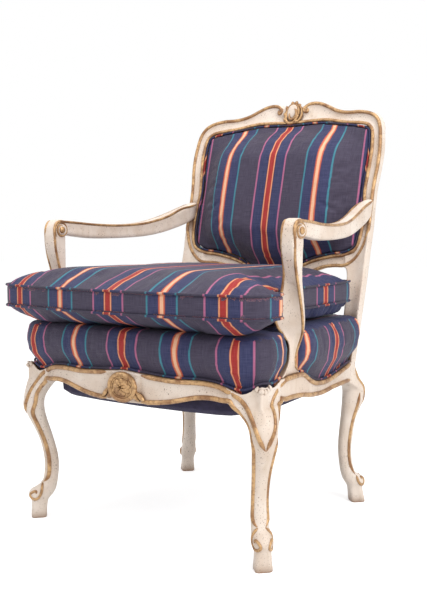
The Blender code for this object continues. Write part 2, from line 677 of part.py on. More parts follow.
def build_rear_rail():
    """A plain rail between the back posts, which the seat cover hides."""
    half = POST_INNER_X - 2 * JOINT_GAP
    y = REAR_RAIL_Y
    low = LEG_HEIGHT + 0.003
    high = RAIL_TOP - 0.021
    bm = bmesh.new()
    bmesh.ops.create_cube(bm, size=1.0)
    bmesh.ops.scale(bm, vec=(2 * half, REAR_RAIL_THICKNESS, high - low), verts=bm.verts)
    bmesh.ops.translate(bm, vec=(0, y + REAR_RAIL_THICKNESS / 2, (low + high) / 2), verts=bm.verts)
    return add_mesh("rear_rail", bm, BARE_WOOD)


# drop below ARM_HEIGHT, then x and y of the four edges: front-inner, front-outer, rear-outer, rear-inner
SUPPORT = [
    (-0.047, 0.2980, -0.1930, 0.3230, -0.1950, 0.3230, -0.1620, 0.2980, -0.1620),
    (-0.072, 0.2980, -0.1840, 0.3226, -0.1880, 0.3230, -0.1600, 0.2980, -0.1600),
    (-0.106, 0.2930, -0.1785, 0.3225, -0.1780, 0.3220, -0.1560, 0.2960, -0.1560),
    (-0.145, 0.2860, -0.1800, 0.3210, -0.1630, 0.3210, -0.1470, 0.2920, -0.1520),
    (-0.170, 0.2790, -0.1840, 0.3190, -0.1530, 0.3180, -0.1370, 0.2870, -0.1480),
    (-0.193, 0.2760, -0.1820, 0.3160, -0.1430, 0.3140, -0.1280, 0.2810, -0.1430),
    (-0.214, 0.2810, -0.1660, 0.3110, -0.1340, 0.3070, -0.1200, 0.2770, -0.1400),
    (-0.230, 0.2890, -0.1560, 0.3050, -0.1320, 0.2980, -0.1180, 0.2730, -0.1360),
    (-0.247, 0.2930, -0.1540, 0.2990, -0.1340, 0.2880, -0.1200, 0.2700, -0.1380),
    (-0.265, 0.2940, -0.1570, 0.2950, -0.1350, 0.2760, -0.1260, 0.2680, -0.1460),
    (-0.280, 0.2950, -0.1640, 0.2940, -0.1330, 0.2700, -0.1280, 0.2670, -0.1560),
    (-0.2994, 0.2965, -0.1880, 0.2900, -0.1060, 0.2640, -0.1060, 0.2670, -0.1880),
]


SUPPORT_SEAT_GAP = 2 * JOINT_GAP
SUPPORT_SEAT = RAIL_TOP + SUPPORT_LANDING + SUPPORT_SEAT_GAP
SUPPORT_SWELL = 0.200          # how far below the arm the drawn shape keeps its own heights


def support_height(drop):
    """Height of a row of the table, fitted between the side rail and the arm."""
    if drop > -SUPPORT_SWELL:
        return ARM_HEIGHT + drop
    share = (drop + SUPPORT_SWELL) / (SUPPORT[-1][0] + SUPPORT_SWELL)
    return ARM_HEIGHT - SUPPORT_SWELL + (SUPPORT_SEAT - ARM_HEIGHT + SUPPORT_SWELL) * share


def support_corners(z):
    """The support's four corners at height z, from the front inner one towards the outside."""
    rows = [(support_height(row[0]), *row[1:]) for row in reversed(SUPPORT)]
    numbers = smooth_at(rows, z)
    shift = np.array((FRONT_X - 0.295, 0.2555 - FOOT_Y))
    return [numbers[k:k + 2] + shift for k in (0, 2, 4, 6)]


def build_arm_support():
    """The arm support: its face turns a quarter turn between the side rail and the arm."""
    rings = []
    for row in SUPPORT:
        z = support_height(row[0])
        corners = support_corners(z)
        ring = []
        for i, corner in enumerate(corners):
            a = Vector((*corner, z))
            b = Vector((*corners[(i + 1) % 4], z))
            middle = (a + b) / 2
            if i == 0:
                inward = Vector((-(b - a).y, (b - a).x, 0)).normalized()
                bead = BEAD_HEIGHT * 0.7
                length = (b - a).length
                edge = min(0.0045, length * 0.25)
                along = (b - a) / length
                hollow = FIELD_HOLLOW * min(1.0, length / 0.03)
                ring += [a, a + along * edge / 2 - inward * bead, a + along * edge,
                         middle + inward * hollow, b - along * edge, b - along * edge / 2 - inward * bead]
            else:
                ring += [a, middle]
        rings.append(ring)
    rings[-1] = [Vector((p.x, p.y, side_rim(p.y) + SUPPORT_SEAT_GAP)) for p in rings[-1]]
    return loft("arm_support_right", rings, PAINT)


# run from the middle of the feet, then across, top above ARM_HEIGHT and depth share of the arm
ARM = [
    (-0.168, 0.3105, 0.0080, 0.96), (-0.145, 0.3105, 0.0070, 1.00), (-0.120, 0.3080, 0.0055, 1.04),
    (-0.080, 0.3030, 0.0020, 1.06), (-0.040, 0.2990, 0.0000, 1.03), (0.000, 0.2950, -0.0010, 1.00),
    (0.040, 0.2890, 0.0000, 1.00), (0.080, 0.2820, 0.0030, 1.03), (0.120, 0.2750, 0.0090, 1.10),
    (0.160, 0.2680, 0.0195, 1.18), (0.200, 0.2615, 0.0325, 1.26), (0.240, 0.2560, 0.0465, 1.32),
    (0.275, 0.2535, 0.0590, 1.36),
]
ARM_END_RISE = ARM[-1][2]
ROLL_Z = ARM_HEIGHT - 0.0145
ROLL_Y = -0.1705 + 0.2555 - FOOT_Y
ROLL_X = 0.3105 + FRONT_X - 0.295
ARM_SEAT = ARM_HEIGHT - 0.047  # where the arm stands on its support
ARM_REAR_X = BACK_HALF_WIDTH - 0.0105


def arm_ring(centre, tangent, depth, width):
    """A ring across the arm: a softly crowned top and flat sides with rounded lower edges."""
    normal = Vector((0, -tangent.z, tangent.y)).normalized()
    half = width / 2
    plan = [(0.0, 0.50), (0.60, 0.48), (0.92, 0.40), (1.0, 0.26), (0.94, 0.0), (0.97, -0.32),
            (0.80, -0.46), (0.30, -0.50)]
    plan = plan + [(-s, t) for s, t in reversed(plan[1:])]
    return [centre + Vector((s * half, 0, 0)) + normal * t * depth for s, t in plan]


def arm_end_y(x, z):
    """Where the arm meets the front face of the stile."""
    return back_face_y(x, z) - BEAD_HEIGHT - JOINT_GAP


def build_arm_bar():
    first = ARM[0][0]
    last = ARM[-1][0]
    front_y = first + 0.2555 - FOOT_Y
    rear_y = arm_end_y(ARM_REAR_X, ARM_HEIGHT + ARM_END_RISE - ARM_DEPTH * 0.6)
    centres = []
    depths = []
    count = 11
    for y in np.linspace(first, last, count):
        x, top, share = smooth_at(ARM, y)
        along = (y - first) / (last - first)
        centre_x = x + (ROLL_X - ARM[0][1]) * (1 - along) + (ARM_REAR_X - ARM[-1][1]) * along
        depths.append(ARM_DEPTH * share)
        centres.append(Vector((centre_x, front_y + (rear_y - front_y) * along,
                               ARM_HEIGHT + top - depths[-1] / 2)))
    rings = []
    for k, centre in enumerate(centres):
        tangent = centres[min(k + 1, count - 1)] - centres[max(k - 1, 0)]
        rings.append(arm_ring(centre, tangent.normalized(), depths[k], ARM_WIDTH))
    rings[-1] = [Vector((p.x, arm_end_y(p.x, p.z), p.z)) for p in rings[-1]]
    return loft("arm_right", rings, PAINT)


def volute_tool():
    """The roll at the arm's front: a spiral outline that curls under and stands on the support."""
    outline = []
    for k in range(10):
        angle = math.radians(70 + 20 * k)
        radius = VOLUTE_RADIUS * (1.02 - 0.12 * k / 9)
        outline.append((ROLL_Y + radius * math.cos(angle), ROLL_Z + radius * math.sin(angle)))
    seat = support_corners(ARM_HEIGHT)
    outline += [(seat[1][1], ARM_SEAT + 0.006), (seat[1][1], ARM_SEAT + JOINT_GAP)]
    outline += [(seat[2][1], ARM_SEAT + JOINT_GAP), (seat[2][1], ROLL_Z - 0.006)]
    left = ROLL_X - ARM_WIDTH / 2
    return tool_object(prism([(left, y, z) for y, z in outline], (ARM_WIDTH, 0, 0)))


def volute_eye_tool():
    eye = bmesh.new()
    bmesh.ops.create_cone(eye, cap_ends=True, segments=16, radius1=VOLUTE_EYE_RADIUS,
                          radius2=VOLUTE_EYE_RADIUS, depth=ARM_WIDTH + 2 * VOLUTE_EYE_PROUD)
    rim = [edge for edge in eye.edges if any(len(face.verts) > 4 for face in edge.link_faces)]
    bmesh.ops.bevel(eye, geom=rim, offset=0.0035, segments=1, profile=0.5, affect='EDGES', material=-1)
    turn = Matrix.Translation((ROLL_X, ROLL_Y + 0.004, ROLL_Z)) @ Matrix.Rotation(math.pi / 2, 4, 'Y')
    bmesh.ops.transform(eye, matrix=turn, verts=eye.verts)
    return tool_object(eye)


def build_arm():
    """The arm, from the stile forward and rolled down at the front on to its support."""
    item = build_arm_bar()
    boolean(item, volute_tool(), 'UNION')
    boolean(item, volute_eye_tool(), 'UNION')
    return item


front_rail = build_front_rail()
side_rail = build_side_rail()
front_leg = build_front_leg()
back_post = build_back_post()
crest_rail = build_crest_rail()
lower_back_rail = build_lower_back_rail()
rear_rail = build_rear_rail()
arm_support = build_arm_support()
arm = build_arm()

def join_frame():
    """Tenons and mortises of the right-hand half; rails that span the chair get both their tenons."""
    seam_z = (front_rail_edges(FRONT_SEAM_X)[0] + front_rim(FRONT_SEAM_X)) / 2
    seam_y = front_face_y(FRONT_SEAM_X) + RAIL_THICKNESS / 2
    tenon(front_rail, front_leg, (FRONT_SEAM_X, seam_y, seam_z), (1, 0, 0), (0.016, TENON_THICKNESS),
          both_ends=True)
    side_x = side_face_x(SIDE_SEAM_Y) - RAIL_THICKNESS / 2
    tenon(side_rail, front_leg, (side_x, SIDE_SEAM_Y, seam_z), (0, -1, 0), (0.018, TENON_THICKNESS))
    rear_z = LEG_HEIGHT + 0.0225
    rear_y = side_rail_end_y(rear_z)
    tenon(side_rail, back_post, (side_face_x(rear_y) - RAIL_THICKNESS / 2, rear_y, rear_z), (0, 1, 0),
          (0.018, TENON_THICKNESS))
    tenon(rear_rail, back_post, (POST_INNER_X, REAR_RAIL_Y + REAR_RAIL_THICKNESS / 2, rear_z), (1, 0, 0),
          (0.018, TENON_THICKNESS), both_ends=True)
    foot = support_corners(SUPPORT_SEAT)
    foot_x = sum(c[0] for c in foot) / 4
    foot_y = sum(c[1] for c in foot) / 4
    tenon(arm_support, side_rail, (foot_x, foot_y, SUPPORT_SEAT), (0, 0, -1), (0.030, TENON_THICKNESS),
          (0, 1, 0))
    top = support_corners(ARM_SEAT)
    top_x = sum(c[0] for c in top) / 4
    top_y = sum(c[1] for c in top) / 4
    tenon(arm_support, arm, (top_x, top_y, ARM_SEAT), (0, 0, 1), (0.014, TENON_THICKNESS), (0, 1, 0))
    arm_z = ARM_HEIGHT + ARM_END_RISE - ARM_DEPTH * 0.68
    tenon(arm, back_post, (ARM_REAR_X, arm_end_y(ARM_REAR_X, arm_z), arm_z), (0, 0.95, 0.31),
          (0.016, TENON_THICKNESS))
    inner, outer = stile_edges(STILE_TOP)
    middle = (inner + outer) / 2
    tenon(crest_rail, back_post, (middle, back_face_y(middle, STILE_TOP) + BACK_THICKNESS / 2, STILE_TOP),
          (0, -BACK_RAKE, -1), (TENON_THICKNESS, TENON_THICKNESS), (0, 1, 0), both_ends=True)
    low_z = LOWER_RAIL_HEIGHT + LOWER_RAIL_WIDTH / 2
    low_x = POST_INNER_X - 0.0172
    tenon(lower_back_rail, back_post, (low_x, back_face_y(low_x, low_z) + BACK_THICKNESS / 2, low_z),
          (1, 0, 0), (0.016, TENON_THICKNESS), both_ends=True)


def corner_block(name, outline, low, high):
    bm = prism([(x, y, low) for x, y in outline], (0, 0, high - low))
    return add_mesh(name, bm, BARE_WOOD)


def block_frame():
    """Corner blocks glued into the angles between the rails."""
    gap = JOINT_GAP
    front_xs = (FRONT_SEAM_X - 0.060, FRONT_SEAM_X - 0.030, FRONT_SEAM_X)
    outline = [(x, front_face_y(x) + RAIL_THICKNESS + gap) for x in front_xs]
    outline[-1] = (FRONT_SEAM_X - gap, outline[-1][1])
    seam_x = side_face_x(SIDE_SEAM_Y) - RAIL_THICKNESS - gap
    side_y = SIDE_SEAM_Y + 0.055
    outline += [(seam_x, SIDE_SEAM_Y + gap), (side_face_x(side_y) - RAIL_THICKNESS - gap, side_y)]
    low = LEG_HEIGHT + 0.0265
    front_block = corner_block("corner_block_front_right", outline, low, low + BLOCK_HEIGHT - 0.008)
    low = LEG_HEIGHT + 0.0075
    post_x = POST_INNER_X - 2 * gap
    side_y = back_face_y(POST_INNER_X + 0.006, low) - gap
    near_y = side_y - 0.045
    outline = [(post_x - 0.052, REAR_RAIL_Y - gap), (post_x, REAR_RAIL_Y - gap), (post_x, side_y),
               (side_face_x(side_y) - RAIL_THICKNESS - gap, side_y),
               (side_face_x(near_y) - RAIL_THICKNESS - gap, near_y)]
    rear_block = corner_block("corner_block_rear_right", outline, low, low + BLOCK_HEIGHT)
    mirrored(front_block, "corner_block_front_left")
    mirrored(rear_block, "corner_block_rear_left")


join_frame()
block_frame()
mirrored(side_rail, "side_rail_left")
mirrored(front_leg, "front_leg_left")
mirrored(back_post, "back_post_left")
mirrored(arm_support, "arm_support_left")
mirrored(arm, "arm_left")


def plan_inset(points, distance):
    """Move the corners of a closed plan outline inwards by a distance, measured square to its sides."""
    count = len(points)
    area = sum(points[i][0] * points[(i + 1) % count][1] - points[(i + 1) % count][0] * points[i][1]
               for i in range(count))
    turn = 1.0 if area > 0 else -1.0
    moved = []
    for i in range(count):
        before = np.array(points[i][:2]) - np.array(points[i - 1][:2])
        after = np.array(points[(i + 1) % count][:2]) - np.array(points[i][:2])
        normals = [np.array((-e[1], e[0])) * turn / max(np.hypot(*e), 1e-9) for e in (before, after)]
        middle = normals[0] + normals[1]
        middle = middle / max(np.hypot(*middle), 1e-9)
        reach = distance / max(middle @ normals[0], 0.6)
        moved.append(tuple(np.array(points[i][:2]) + middle * reach))
    return moved


def both_halves(half):
    """Close a right-hand half outline, whose two ends lie on the middle plane, with its mirror image."""
    return list(half) + [(-p[0], *p[1:]) for p in reversed(half[1:-1])]


def tube(name, points, radius, material, closed=True, resolution=1):
    """A round cord through points."""
    curve = bpy.data.curves.new(name, 'CURVE')
    curve.dimensions = '3D'
    curve.bevel_depth = radius
    curve.bevel_resolution = resolution
    curve.use_fill_caps = not closed
    spline = curve.splines.new('POLY')
    spline.points.add(len(points) - 1)
    for target, point in zip(spline.points, points):
        target.co = (*point, 1.0)
    spline.use_cyclic_u = closed
    return add_object(name, curve, material)


def solidified(item, thickness):
    """Give an open surface its wall on the inner side."""
    modifier = item.modifiers.new("wall", 'SOLIDIFY')
    modifier.thickness = thickness
    modifier.offset = -1.0
    modifier.use_even_offset = False
    return item


def moved_inward(bm, distance):
    """Move a skin inwards along its normals, so that it lies parallel under the skin it copies."""
    quads = [face for face in bm.faces if len(face.verts) == 4]
    bmesh.ops.triangulate(bm, faces=quads, quad_method='FIXED')
    bmesh.ops.recalc_face_normals(bm, faces=bm.faces)
    bm.normal_update()
    shifts = [(v, v.normal * distance) for v in bm.verts]
    for v, shift in shifts:
        v.co -= shift


RIM_INSET = 0.009              # the seat cover's edge behind the rails' face
SUPPORT_CLEARANCE = 0.0015
CUSHION_SEAT = DECK_HEIGHT + JOINT_GAP
# rise over the rim, share of the way up to the shoulder, and swell, from the rail to the shoulder
DECK_LEVELS = [(0.0022, 0.00, 0.00), (0.0090, 0.00, 0.05), (0.0, 0.38, 0.86), (0.0, 0.68, 1.00),
               (0.0, 1.00, 0.72)]
DECK_STATIONS = 11


def rim_path(inset, count=DECK_STATIONS):
    """Plan of a line that runs inside the rails' faces, from the front's middle to the arm support."""
    face = [(x, front_face_y(x)) for x in (0.0, KNEE_X * 0.4, KNEE_X - 0.094, KNEE_X - 0.048)]
    face += [(KNEE_X - 0.008, KNEE_Y + 0.004)]
    face += [(side_face_x(y), y) for y in (KNEE_Y + 0.040, KNEE_Y + 0.075)]
    path = [tuple(p) for p in smooth_path(face, count)]
    closed = [(-p[0], p[1]) for p in reversed(path[1:])] + path + [(0.2, FOOT_Y), (-0.2, FOOT_Y)]
    return plan_inset(closed, inset)[count - 1:2 * count - 1]


def swell_path():
    """The same line where the seat's front swells out furthest over the rails."""
    swell = [(x, front_face_y(x) - over) for x, over in
             ((0.0, 0.008), (KNEE_X * 0.4, 0.0107), (KNEE_X - 0.094, 0.0181), (KNEE_X - 0.042, 0.0228))]
    swell += [(KNEE_X - 0.007, KNEE_Y - 0.009), (KNEE_X + 0.0085, KNEE_Y + 0.025),
              (KNEE_X + 0.010, KNEE_Y + 0.068)]
    return smooth_path(swell, DECK_STATIONS)


def rim_height(x, y):
    """Height of the frame's upper edge at a place on the rim, taken high where it falls away."""
    if y < KNEE_Y + 0.012:
        return front_rim(x)
    return max(side_rim(y - 0.007), side_rim(y + 0.004))


def support_bounds(z):
    """Front and rear reach of the arm support at height z."""
    corners = support_corners(min(max(z, SUPPORT_SEAT), ARM_SEAT - 0.02))
    return min(c[1] for c in corners), max(c[1] for c in corners)


def deck_outline(rise, share, swell):
    """One level of the seat cover: notched round the arm supports and the back posts."""
    edge = rim_path(RIM_INSET)
    bulge = swell_path()
    shoulder = DECK_HEIGHT - 0.0085

    def height(rim):
        return rim + rise if share == 0 else rim + (shoulder - rim) * share

    half = []
    for k in range(DECK_STATIONS):
        x = edge[k][0] + (bulge[k][0] - edge[k][0]) * swell
        y = edge[k][1] + (bulge[k][1] - edge[k][1]) * swell
        half.append((x, y, height(rim_height(*edge[k]))))
    z = height(side_rim(SIDE_SEAM_Y + 0.03))
    reaches = [support_bounds(z + rise) for rise in (0.0, 0.005, 0.010)]
    front = min(reach[0] for reach in reaches) - SUPPORT_CLEARANCE
    rear = max(reach[1] for reach in reaches) + SUPPORT_CLEARANCE
    inner = min(c[0] for c in support_corners(SUPPORT_SEAT)) - SUPPORT_CLEARANCE
    lip_x = side_face_x(front) - RIM_INSET + 0.004 * swell
    half[-1] = (half[-1][0] - 0.006 * swell, min(half[-1][1], front - 0.012), half[-1][2])
    half += [(lip_x, front, z), (inner, front, z), (inner, rear, z),
             (side_face_x(rear) - RIM_INSET, rear, height(rim_height(0, rear)))]
    z_last = height(side_rim(SIDE_REAR_Y))
    last = back_face_y(BACK_HALF_WIDTH, z_last) - BEAD_HEIGHT - 0.0015
    for k in range(6):
        y = rear + 0.010 + (last - rear - 0.010) * (k / 5)**1.4
        over = -RIM_INSET + (RIM_INSET + 0.0152) * swell * (0.75 if k == 0 else 1.0)
        half.append((side_face_x(y) + over, y, height(rim_height(0, y))))
    post_x = stile_edges(z_last)[0] - SUPPORT_CLEARANCE
    rear_y = REAR_RAIL_Y + REAR_RAIL_THICKNESS - 0.004 + 0.006 * swell
    low = height(RAIL_TOP - 0.021)
    half += [(post_x, last, z_last), (post_x, rear_y, low), (post_x * 0.5, rear_y, low), (0, rear_y, low)]
    return both_halves(half)


def deck_rings():
    """Rings of the sprung seat from the rails up to its flat top."""
    rings = [deck_outline(*level) for level in DECK_LEVELS]
    rings.append([(*p[:2], DECK_HEIGHT - 0.0025) for p in deck_outline(0, 1.0, 0.32)])
    rings.append([(*p, DECK_HEIGHT) for p in plan_inset(rings[-1], 0.010)])
    return rings


def build_seat_cover():
    bm = bmesh.new()
    skin(bm, deck_rings(), start="open", end="flat")
    return solidified(add_mesh("seat_cover", bm, STRIPE), CLOTH)


HESSIAN_Z = DECK_HEIGHT - STUFFING_DEPTH - HESSIAN_THICKNESS - JOINT_GAP
WELL_HALF = POST_INNER_X - 0.004
WELL_FRONT = front_face_y(WELL_HALF) + RAIL_THICKNESS + 0.001
WELL_REAR = REAR_RAIL_Y - 0.004


def build_seat_stuffing():
    """The stitched stuffing: a slab that fills the cover, with a well from below for the springs."""
    rings = deck_rings()
    bottom = RAIL_TOP + 2 * JOINT_GAP
    base = []
    above = []
    for column in zip(*rings[:3]):
        heights = [p[2] for p in column]
        for ring, z in ((base, bottom), (above, max(bottom + 0.0012, heights[1]))):
            ring.append((np.interp(z, heights, [p[0] for p in column]),
                         np.interp(z, heights, [p[1] for p in column]), z))
    base, above = ([(*p, ring[0][2]) for p in plan_inset(ring, 0.006)] for ring in (base, above))
    bm = bmesh.new()
    loops = skin(bm, [base, above] + rings[2:], start="open", end="flat")
    moved_inward(bm, CLOTH + 0.0025)
    for v in loops[0]:
        v.co.z = bottom
    bm.faces.new(loops[0])
    item = add_mesh("seat_stuffing", bm, FILLING)
    top = HESSIAN_Z + HESSIAN_THICKNESS + JOINT_GAP
    centre = (0, (WELL_FRONT + WELL_REAR) / 2, top - 0.1)
    boolean(item, oriented_box(centre, (2 * WELL_HALF, WELL_REAR - WELL_FRONT, 0.2)), 'DIFFERENCE')
    return item


WELT_INSET = WELT_RADIUS + 0.0008
WELT_LIFT = WELT_RADIUS + 0.0009
SIDE_WELT_LIFT = WELT_RADIUS - 0.0001


def build_seat_welts():
    """The piping that hides the seat cover's edge: round the front, and along each side."""
    path = rim_path(WELT_INSET, 17)
    stop = support_bounds(SUPPORT_SEAT)[0] - SUPPORT_CLEARANCE
    points = [(x, y, rim_height(x, y) + WELT_LIFT) for x, y in path if y < stop - 0.004]
    points.append((side_face_x(stop) - WELT_INSET, stop, side_rim(stop) + WELT_LIFT))
    whole = [(-p[0], p[1], p[2]) for p in reversed(points[1:])] + points
    tube("seat_welt_front", whole, WELT_RADIUS, PIPING, closed=False)
    start = support_bounds(SUPPORT_SEAT)[1] + SUPPORT_CLEARANCE
    last = back_face_y(BACK_HALF_WIDTH, side_rim(SIDE_REAR_Y)) - BEAD_HEIGHT - 0.0010
    points = []
    for k in range(12):
        y = start + (last - start) * (k / 11)**1.4
        points.append((side_face_x(y) - WELT_INSET, y, rim_height(0, y) + SIDE_WELT_LIFT))
    tube("seat_welt_right", points, WELT_RADIUS, PIPING, closed=False)
    tube("seat_welt_left", [(-p[0], p[1], p[2]) for p in points], WELT_RADIUS, PIPING, closed=False)


def lattice(name, columns, rows, place, thickness, material):
    """Woven strips as one open net: the cells between strips are left out."""
    bm = bmesh.new()
    grid = [[bm.verts.new(place(i, j)) for i in range(len(columns))] for j in range(len(rows))]
    for j in range(len(rows) - 1):
        for i in range(len(columns) - 1):
            if i % 2 or j % 2:
                bm.faces.new((grid[j][i], grid[j][i + 1], grid[j + 1][i + 1], grid[j + 1][i]))
    loose = [v for v in bm.verts if not v.link_faces]
    bmesh.ops.delete(bm, geom=loose, context='VERTS')
    mesh = bpy.data.meshes.new(name)
    bm.to_mesh(mesh)
    bm.free()
    item = add_object(name, mesh, material)
    modifier = item.modifiers.new("thickness", 'SOLIDIFY')
    modifier.thickness = thickness
    modifier.offset = 0.0
    return item


def strip_edges(count, strip, length):
    """Edges of count strips spread evenly over a length, with the length's two ends."""
    gap = (length - count * strip) / (count + 1)
    edges = [0.0]
    for k in range(count):
        start = gap + k * (strip + gap)
        edges += [start, start + strip]
    return edges + [length]


def build_seat_webbing():
    rear = REAR_RAIL_Y - JOINT_GAP
    half = WELL_HALF
    xs = [x - half for x in strip_edges(4, WEBBING_STRIP, 2 * half)]
    ys = [y + WELL_FRONT for y in strip_edges(4, WEBBING_STRIP, WELL_REAR - WELL_FRONT)]
    z = WEBBING_HEIGHT + WEBBING_THICKNESS / 2

    def place(i, j):
        x, y = xs[i], ys[j]
        if i in (0, len(xs) - 1):
            x = math.copysign(side_face_x(y) - RAIL_THICKNESS - 0.0006, x)
        if j == 0:
            y = front_face_y(x) + RAIL_THICKNESS + 0.0006
        if j == len(ys) - 1:
            y = rear
        return (x, y, z)

    return lattice("seat_webbing", xs, ys, place, WEBBING_THICKNESS, JUTE)


def build_springs():
    """Hourglass springs that stand on the webbing and carry the hessian."""
    low = WEBBING_HEIGHT + WEBBING_THICKNESS + SPRING_WIRE + JOINT_GAP
    high = HESSIAN_Z - SPRING_WIRE - JOINT_GAP
    places = [(0.0, -0.030), (-0.125, -0.150), (0.125, -0.150), (-0.110, 0.095), (0.110, 0.095)]
    steps = SPRING_TURNS * 6
    for number, (cx, cy) in enumerate(places, 1):
        points = []
        for k in range(steps + 1):
            share = k / steps
            radius = SPRING_WAIST + (SPRING_RADIUS - SPRING_WAIST) * (2 * share - 1)**2
            angle = 2 * math.pi * SPRING_TURNS * share
            points.append((cx + radius * math.cos(angle), cy + radius * math.sin(angle),
                           low + (high - low) * share))
        tube(f"seat_spring_{number}", points, SPRING_WIRE, STEEL, closed=False, resolution=0)
    pitch = (high - low) / SPRING_TURNS
    print(f"least gap between a seat spring's turns: {1000 * (pitch - 2 * SPRING_WIRE):.1f} mm")


def flat_sheet(name, outline, z, thickness, material):
    bm = bmesh.new()
    bm.faces.new([bm.verts.new((x, y, z)) for x, y in outline])
    body = bmesh.ops.extrude_face_region(bm, geom=list(bm.faces))
    bmesh.ops.translate(bm, vec=(0, 0, thickness), verts=[v for v in body["geom"]
                                                          if isinstance(v, bmesh.types.BMVert)])
    return add_mesh(name, bm, material)


def build_hessian():
    half = WELL_HALF - 0.0006
    outline = [(-half, WELL_FRONT + 0.0006), (half, WELL_FRONT + 0.0006), (half, WELL_REAR - 0.0006),
               (-half, WELL_REAR - 0.0006)]
    return flat_sheet("seat_hessian", outline, HESSIAN_Z, HESSIAN_THICKNESS, JUTE)


def build_bottom_cover():
    """The dark cloth under the seat: a shallow pan inside the rails."""
    gap = 0.0007
    front = [(x, front_face_y(x) + RAIL_THICKNESS + gap) for x in (0.0, 0.11, 0.19)]
    side = [(side_face_x(y) - RAIL_THICKNESS - gap, y) for y in (-0.145, 0.0, 0.150)]
    half = front + [(FRONT_X - 0.073, front_face_y(0.19) + RAIL_THICKNESS + 0.012), (FRONT_X - 0.041, -0.200)]
    half += side + [(POST_INNER_X - 0.003, REAR_RAIL_Y - 0.018), (POST_INNER_X - 0.012, REAR_RAIL_Y - gap),
                    (0.0, REAR_RAIL_Y - gap)]
    top = WEBBING_HEIGHT - 0.0012
    outline = both_halves(half)
    rings = [[(*p, top) for p in outline], [(*p, top - PAN_DROP * 0.25) for p in plan_inset(outline, 0.002)],
             [(*p, top - PAN_DROP * 0.85) for p in plan_inset(outline, 0.018)],
             [(*p, top - PAN_DROP) for p in plan_inset(outline, 0.050)]]
    bm = bmesh.new()
    skin(bm, rings, start="open", end="flat")
    return solidified(add_mesh("bottom_cover", bm, DARK_CLOTH), 0.0015)


def cushion_outline():
    """Plan of the loose cushion: wide ears in front of the arm supports and a body between them."""
    front = front_face_y(0) - (CUSHION_REACH - 0.309)
    ear_back = support_bounds(ARM_HEIGHT - 0.18)[0] - 0.051
    ear = CUSHION_EAR
    waist = CUSHION_WAIST
    half = [(0.0, front), (0.10, front + 0.0015), (0.20, front + 0.008), (ear - 0.072, front + 0.018)]
    centre = (ear - 0.060, front + 0.080)
    for degrees in (-68, -45, -22):
        a = math.radians(degrees)
        half.append((centre[0] + 0.060 * math.cos(a), centre[1] + 0.062 * math.sin(a)))
    half += [(ear - 0.001, ear_back - 0.014), (ear - 0.014, ear_back - 0.001),
             (waist + 0.014, ear_back), (waist + 0.002, ear_back + 0.012), (waist, ear_back + 0.120),
             (waist - 0.008, CUSHION_REAR - 0.035), (waist - 0.020, CUSHION_REAR - 0.006),
             (waist - 0.046, CUSHION_REAR), (0.120, CUSHION_REAR), (0.0, CUSHION_REAR)]
    return both_halves(half)


def towards_oval(points, centre, radii, share):
    """Draw a closed outline towards an oval whose points follow in the same order."""
    points = [np.array(p[:2]) for p in points]
    steps = [float(np.hypot(*(points[(i + 1) % len(points)] - points[i]))) for i in range(len(points))]
    start = math.copysign(1.0, points[0][1] - centre[1])
    turn = math.copysign(1.0, points[1][0] - points[0][0])
    run = 0.0
    moved = []
    for point, step in zip(points, steps):
        angle = 2 * math.pi * run / sum(steps)
        goal = np.array((centre[0] + turn * radii[0] * math.sin(angle),
                         centre[1] + start * radii[1] * math.cos(angle)))
        moved.append(tuple(point + (goal - point) * share))
        run += step
    return moved


def drawn_in(points, distance):
    """An outline drawn in by a short distance, in steps that round its outer corners."""
    points = [np.array(p[:2]) for p in points]
    steps = max(round(distance / 0.0035), 1)
    for step in range(steps):
        inner = [np.array(p) for p in plan_inset(points, distance / steps)]
        smoothed = []
        for i, p in enumerate(inner):
            pull = ((inner[i - 1] + inner[(i + 1) % len(inner)]) / 2 - p) / 2
            smoothed.append(p + pull if pull @ (p - points[i]) > 0 else p)
        points = smoothed
    return [tuple(p) for p in points]


def cushion_rings():
    """Rings of the cushion from its flat under side, up the border, to its crown."""
    outline = cushion_outline()
    base = CUSHION_SEAT
    low = base + CUSHION_BELLY
    high = low + CUSHION_BOXING
    top = high + CUSHION_CROWN

    middle = (0.0, (CUSHION_REAR - CUSHION_REACH) / 2 - 0.025)
    oval = (CUSHION_WAIST * 0.72, (CUSHION_REAR + CUSHION_REACH) * 0.26)
    edge = drawn_in(outline, 0.010)

    def ring(share, z):
        path = towards_oval(edge, middle, oval, share)
        return [(*p, z) for p in path]

    rings = [ring(0.55, base), ring(0.24, base + CUSHION_BELLY * 0.15),
             ring(0.0, low - CUSHION_BELLY * 0.42)]
    rings += [[(*p, low + CUSHION_BOXING * k / 3) for p in outline] for k in range(4)]
    rings += [ring(0.0, high + CUSHION_CROWN * 0.40), ring(0.24, high + CUSHION_CROWN * 0.80),
              ring(0.60, top)]
    return rings


ZIP_FRONT_RING = 4             # the cushion ring below the zip's slot


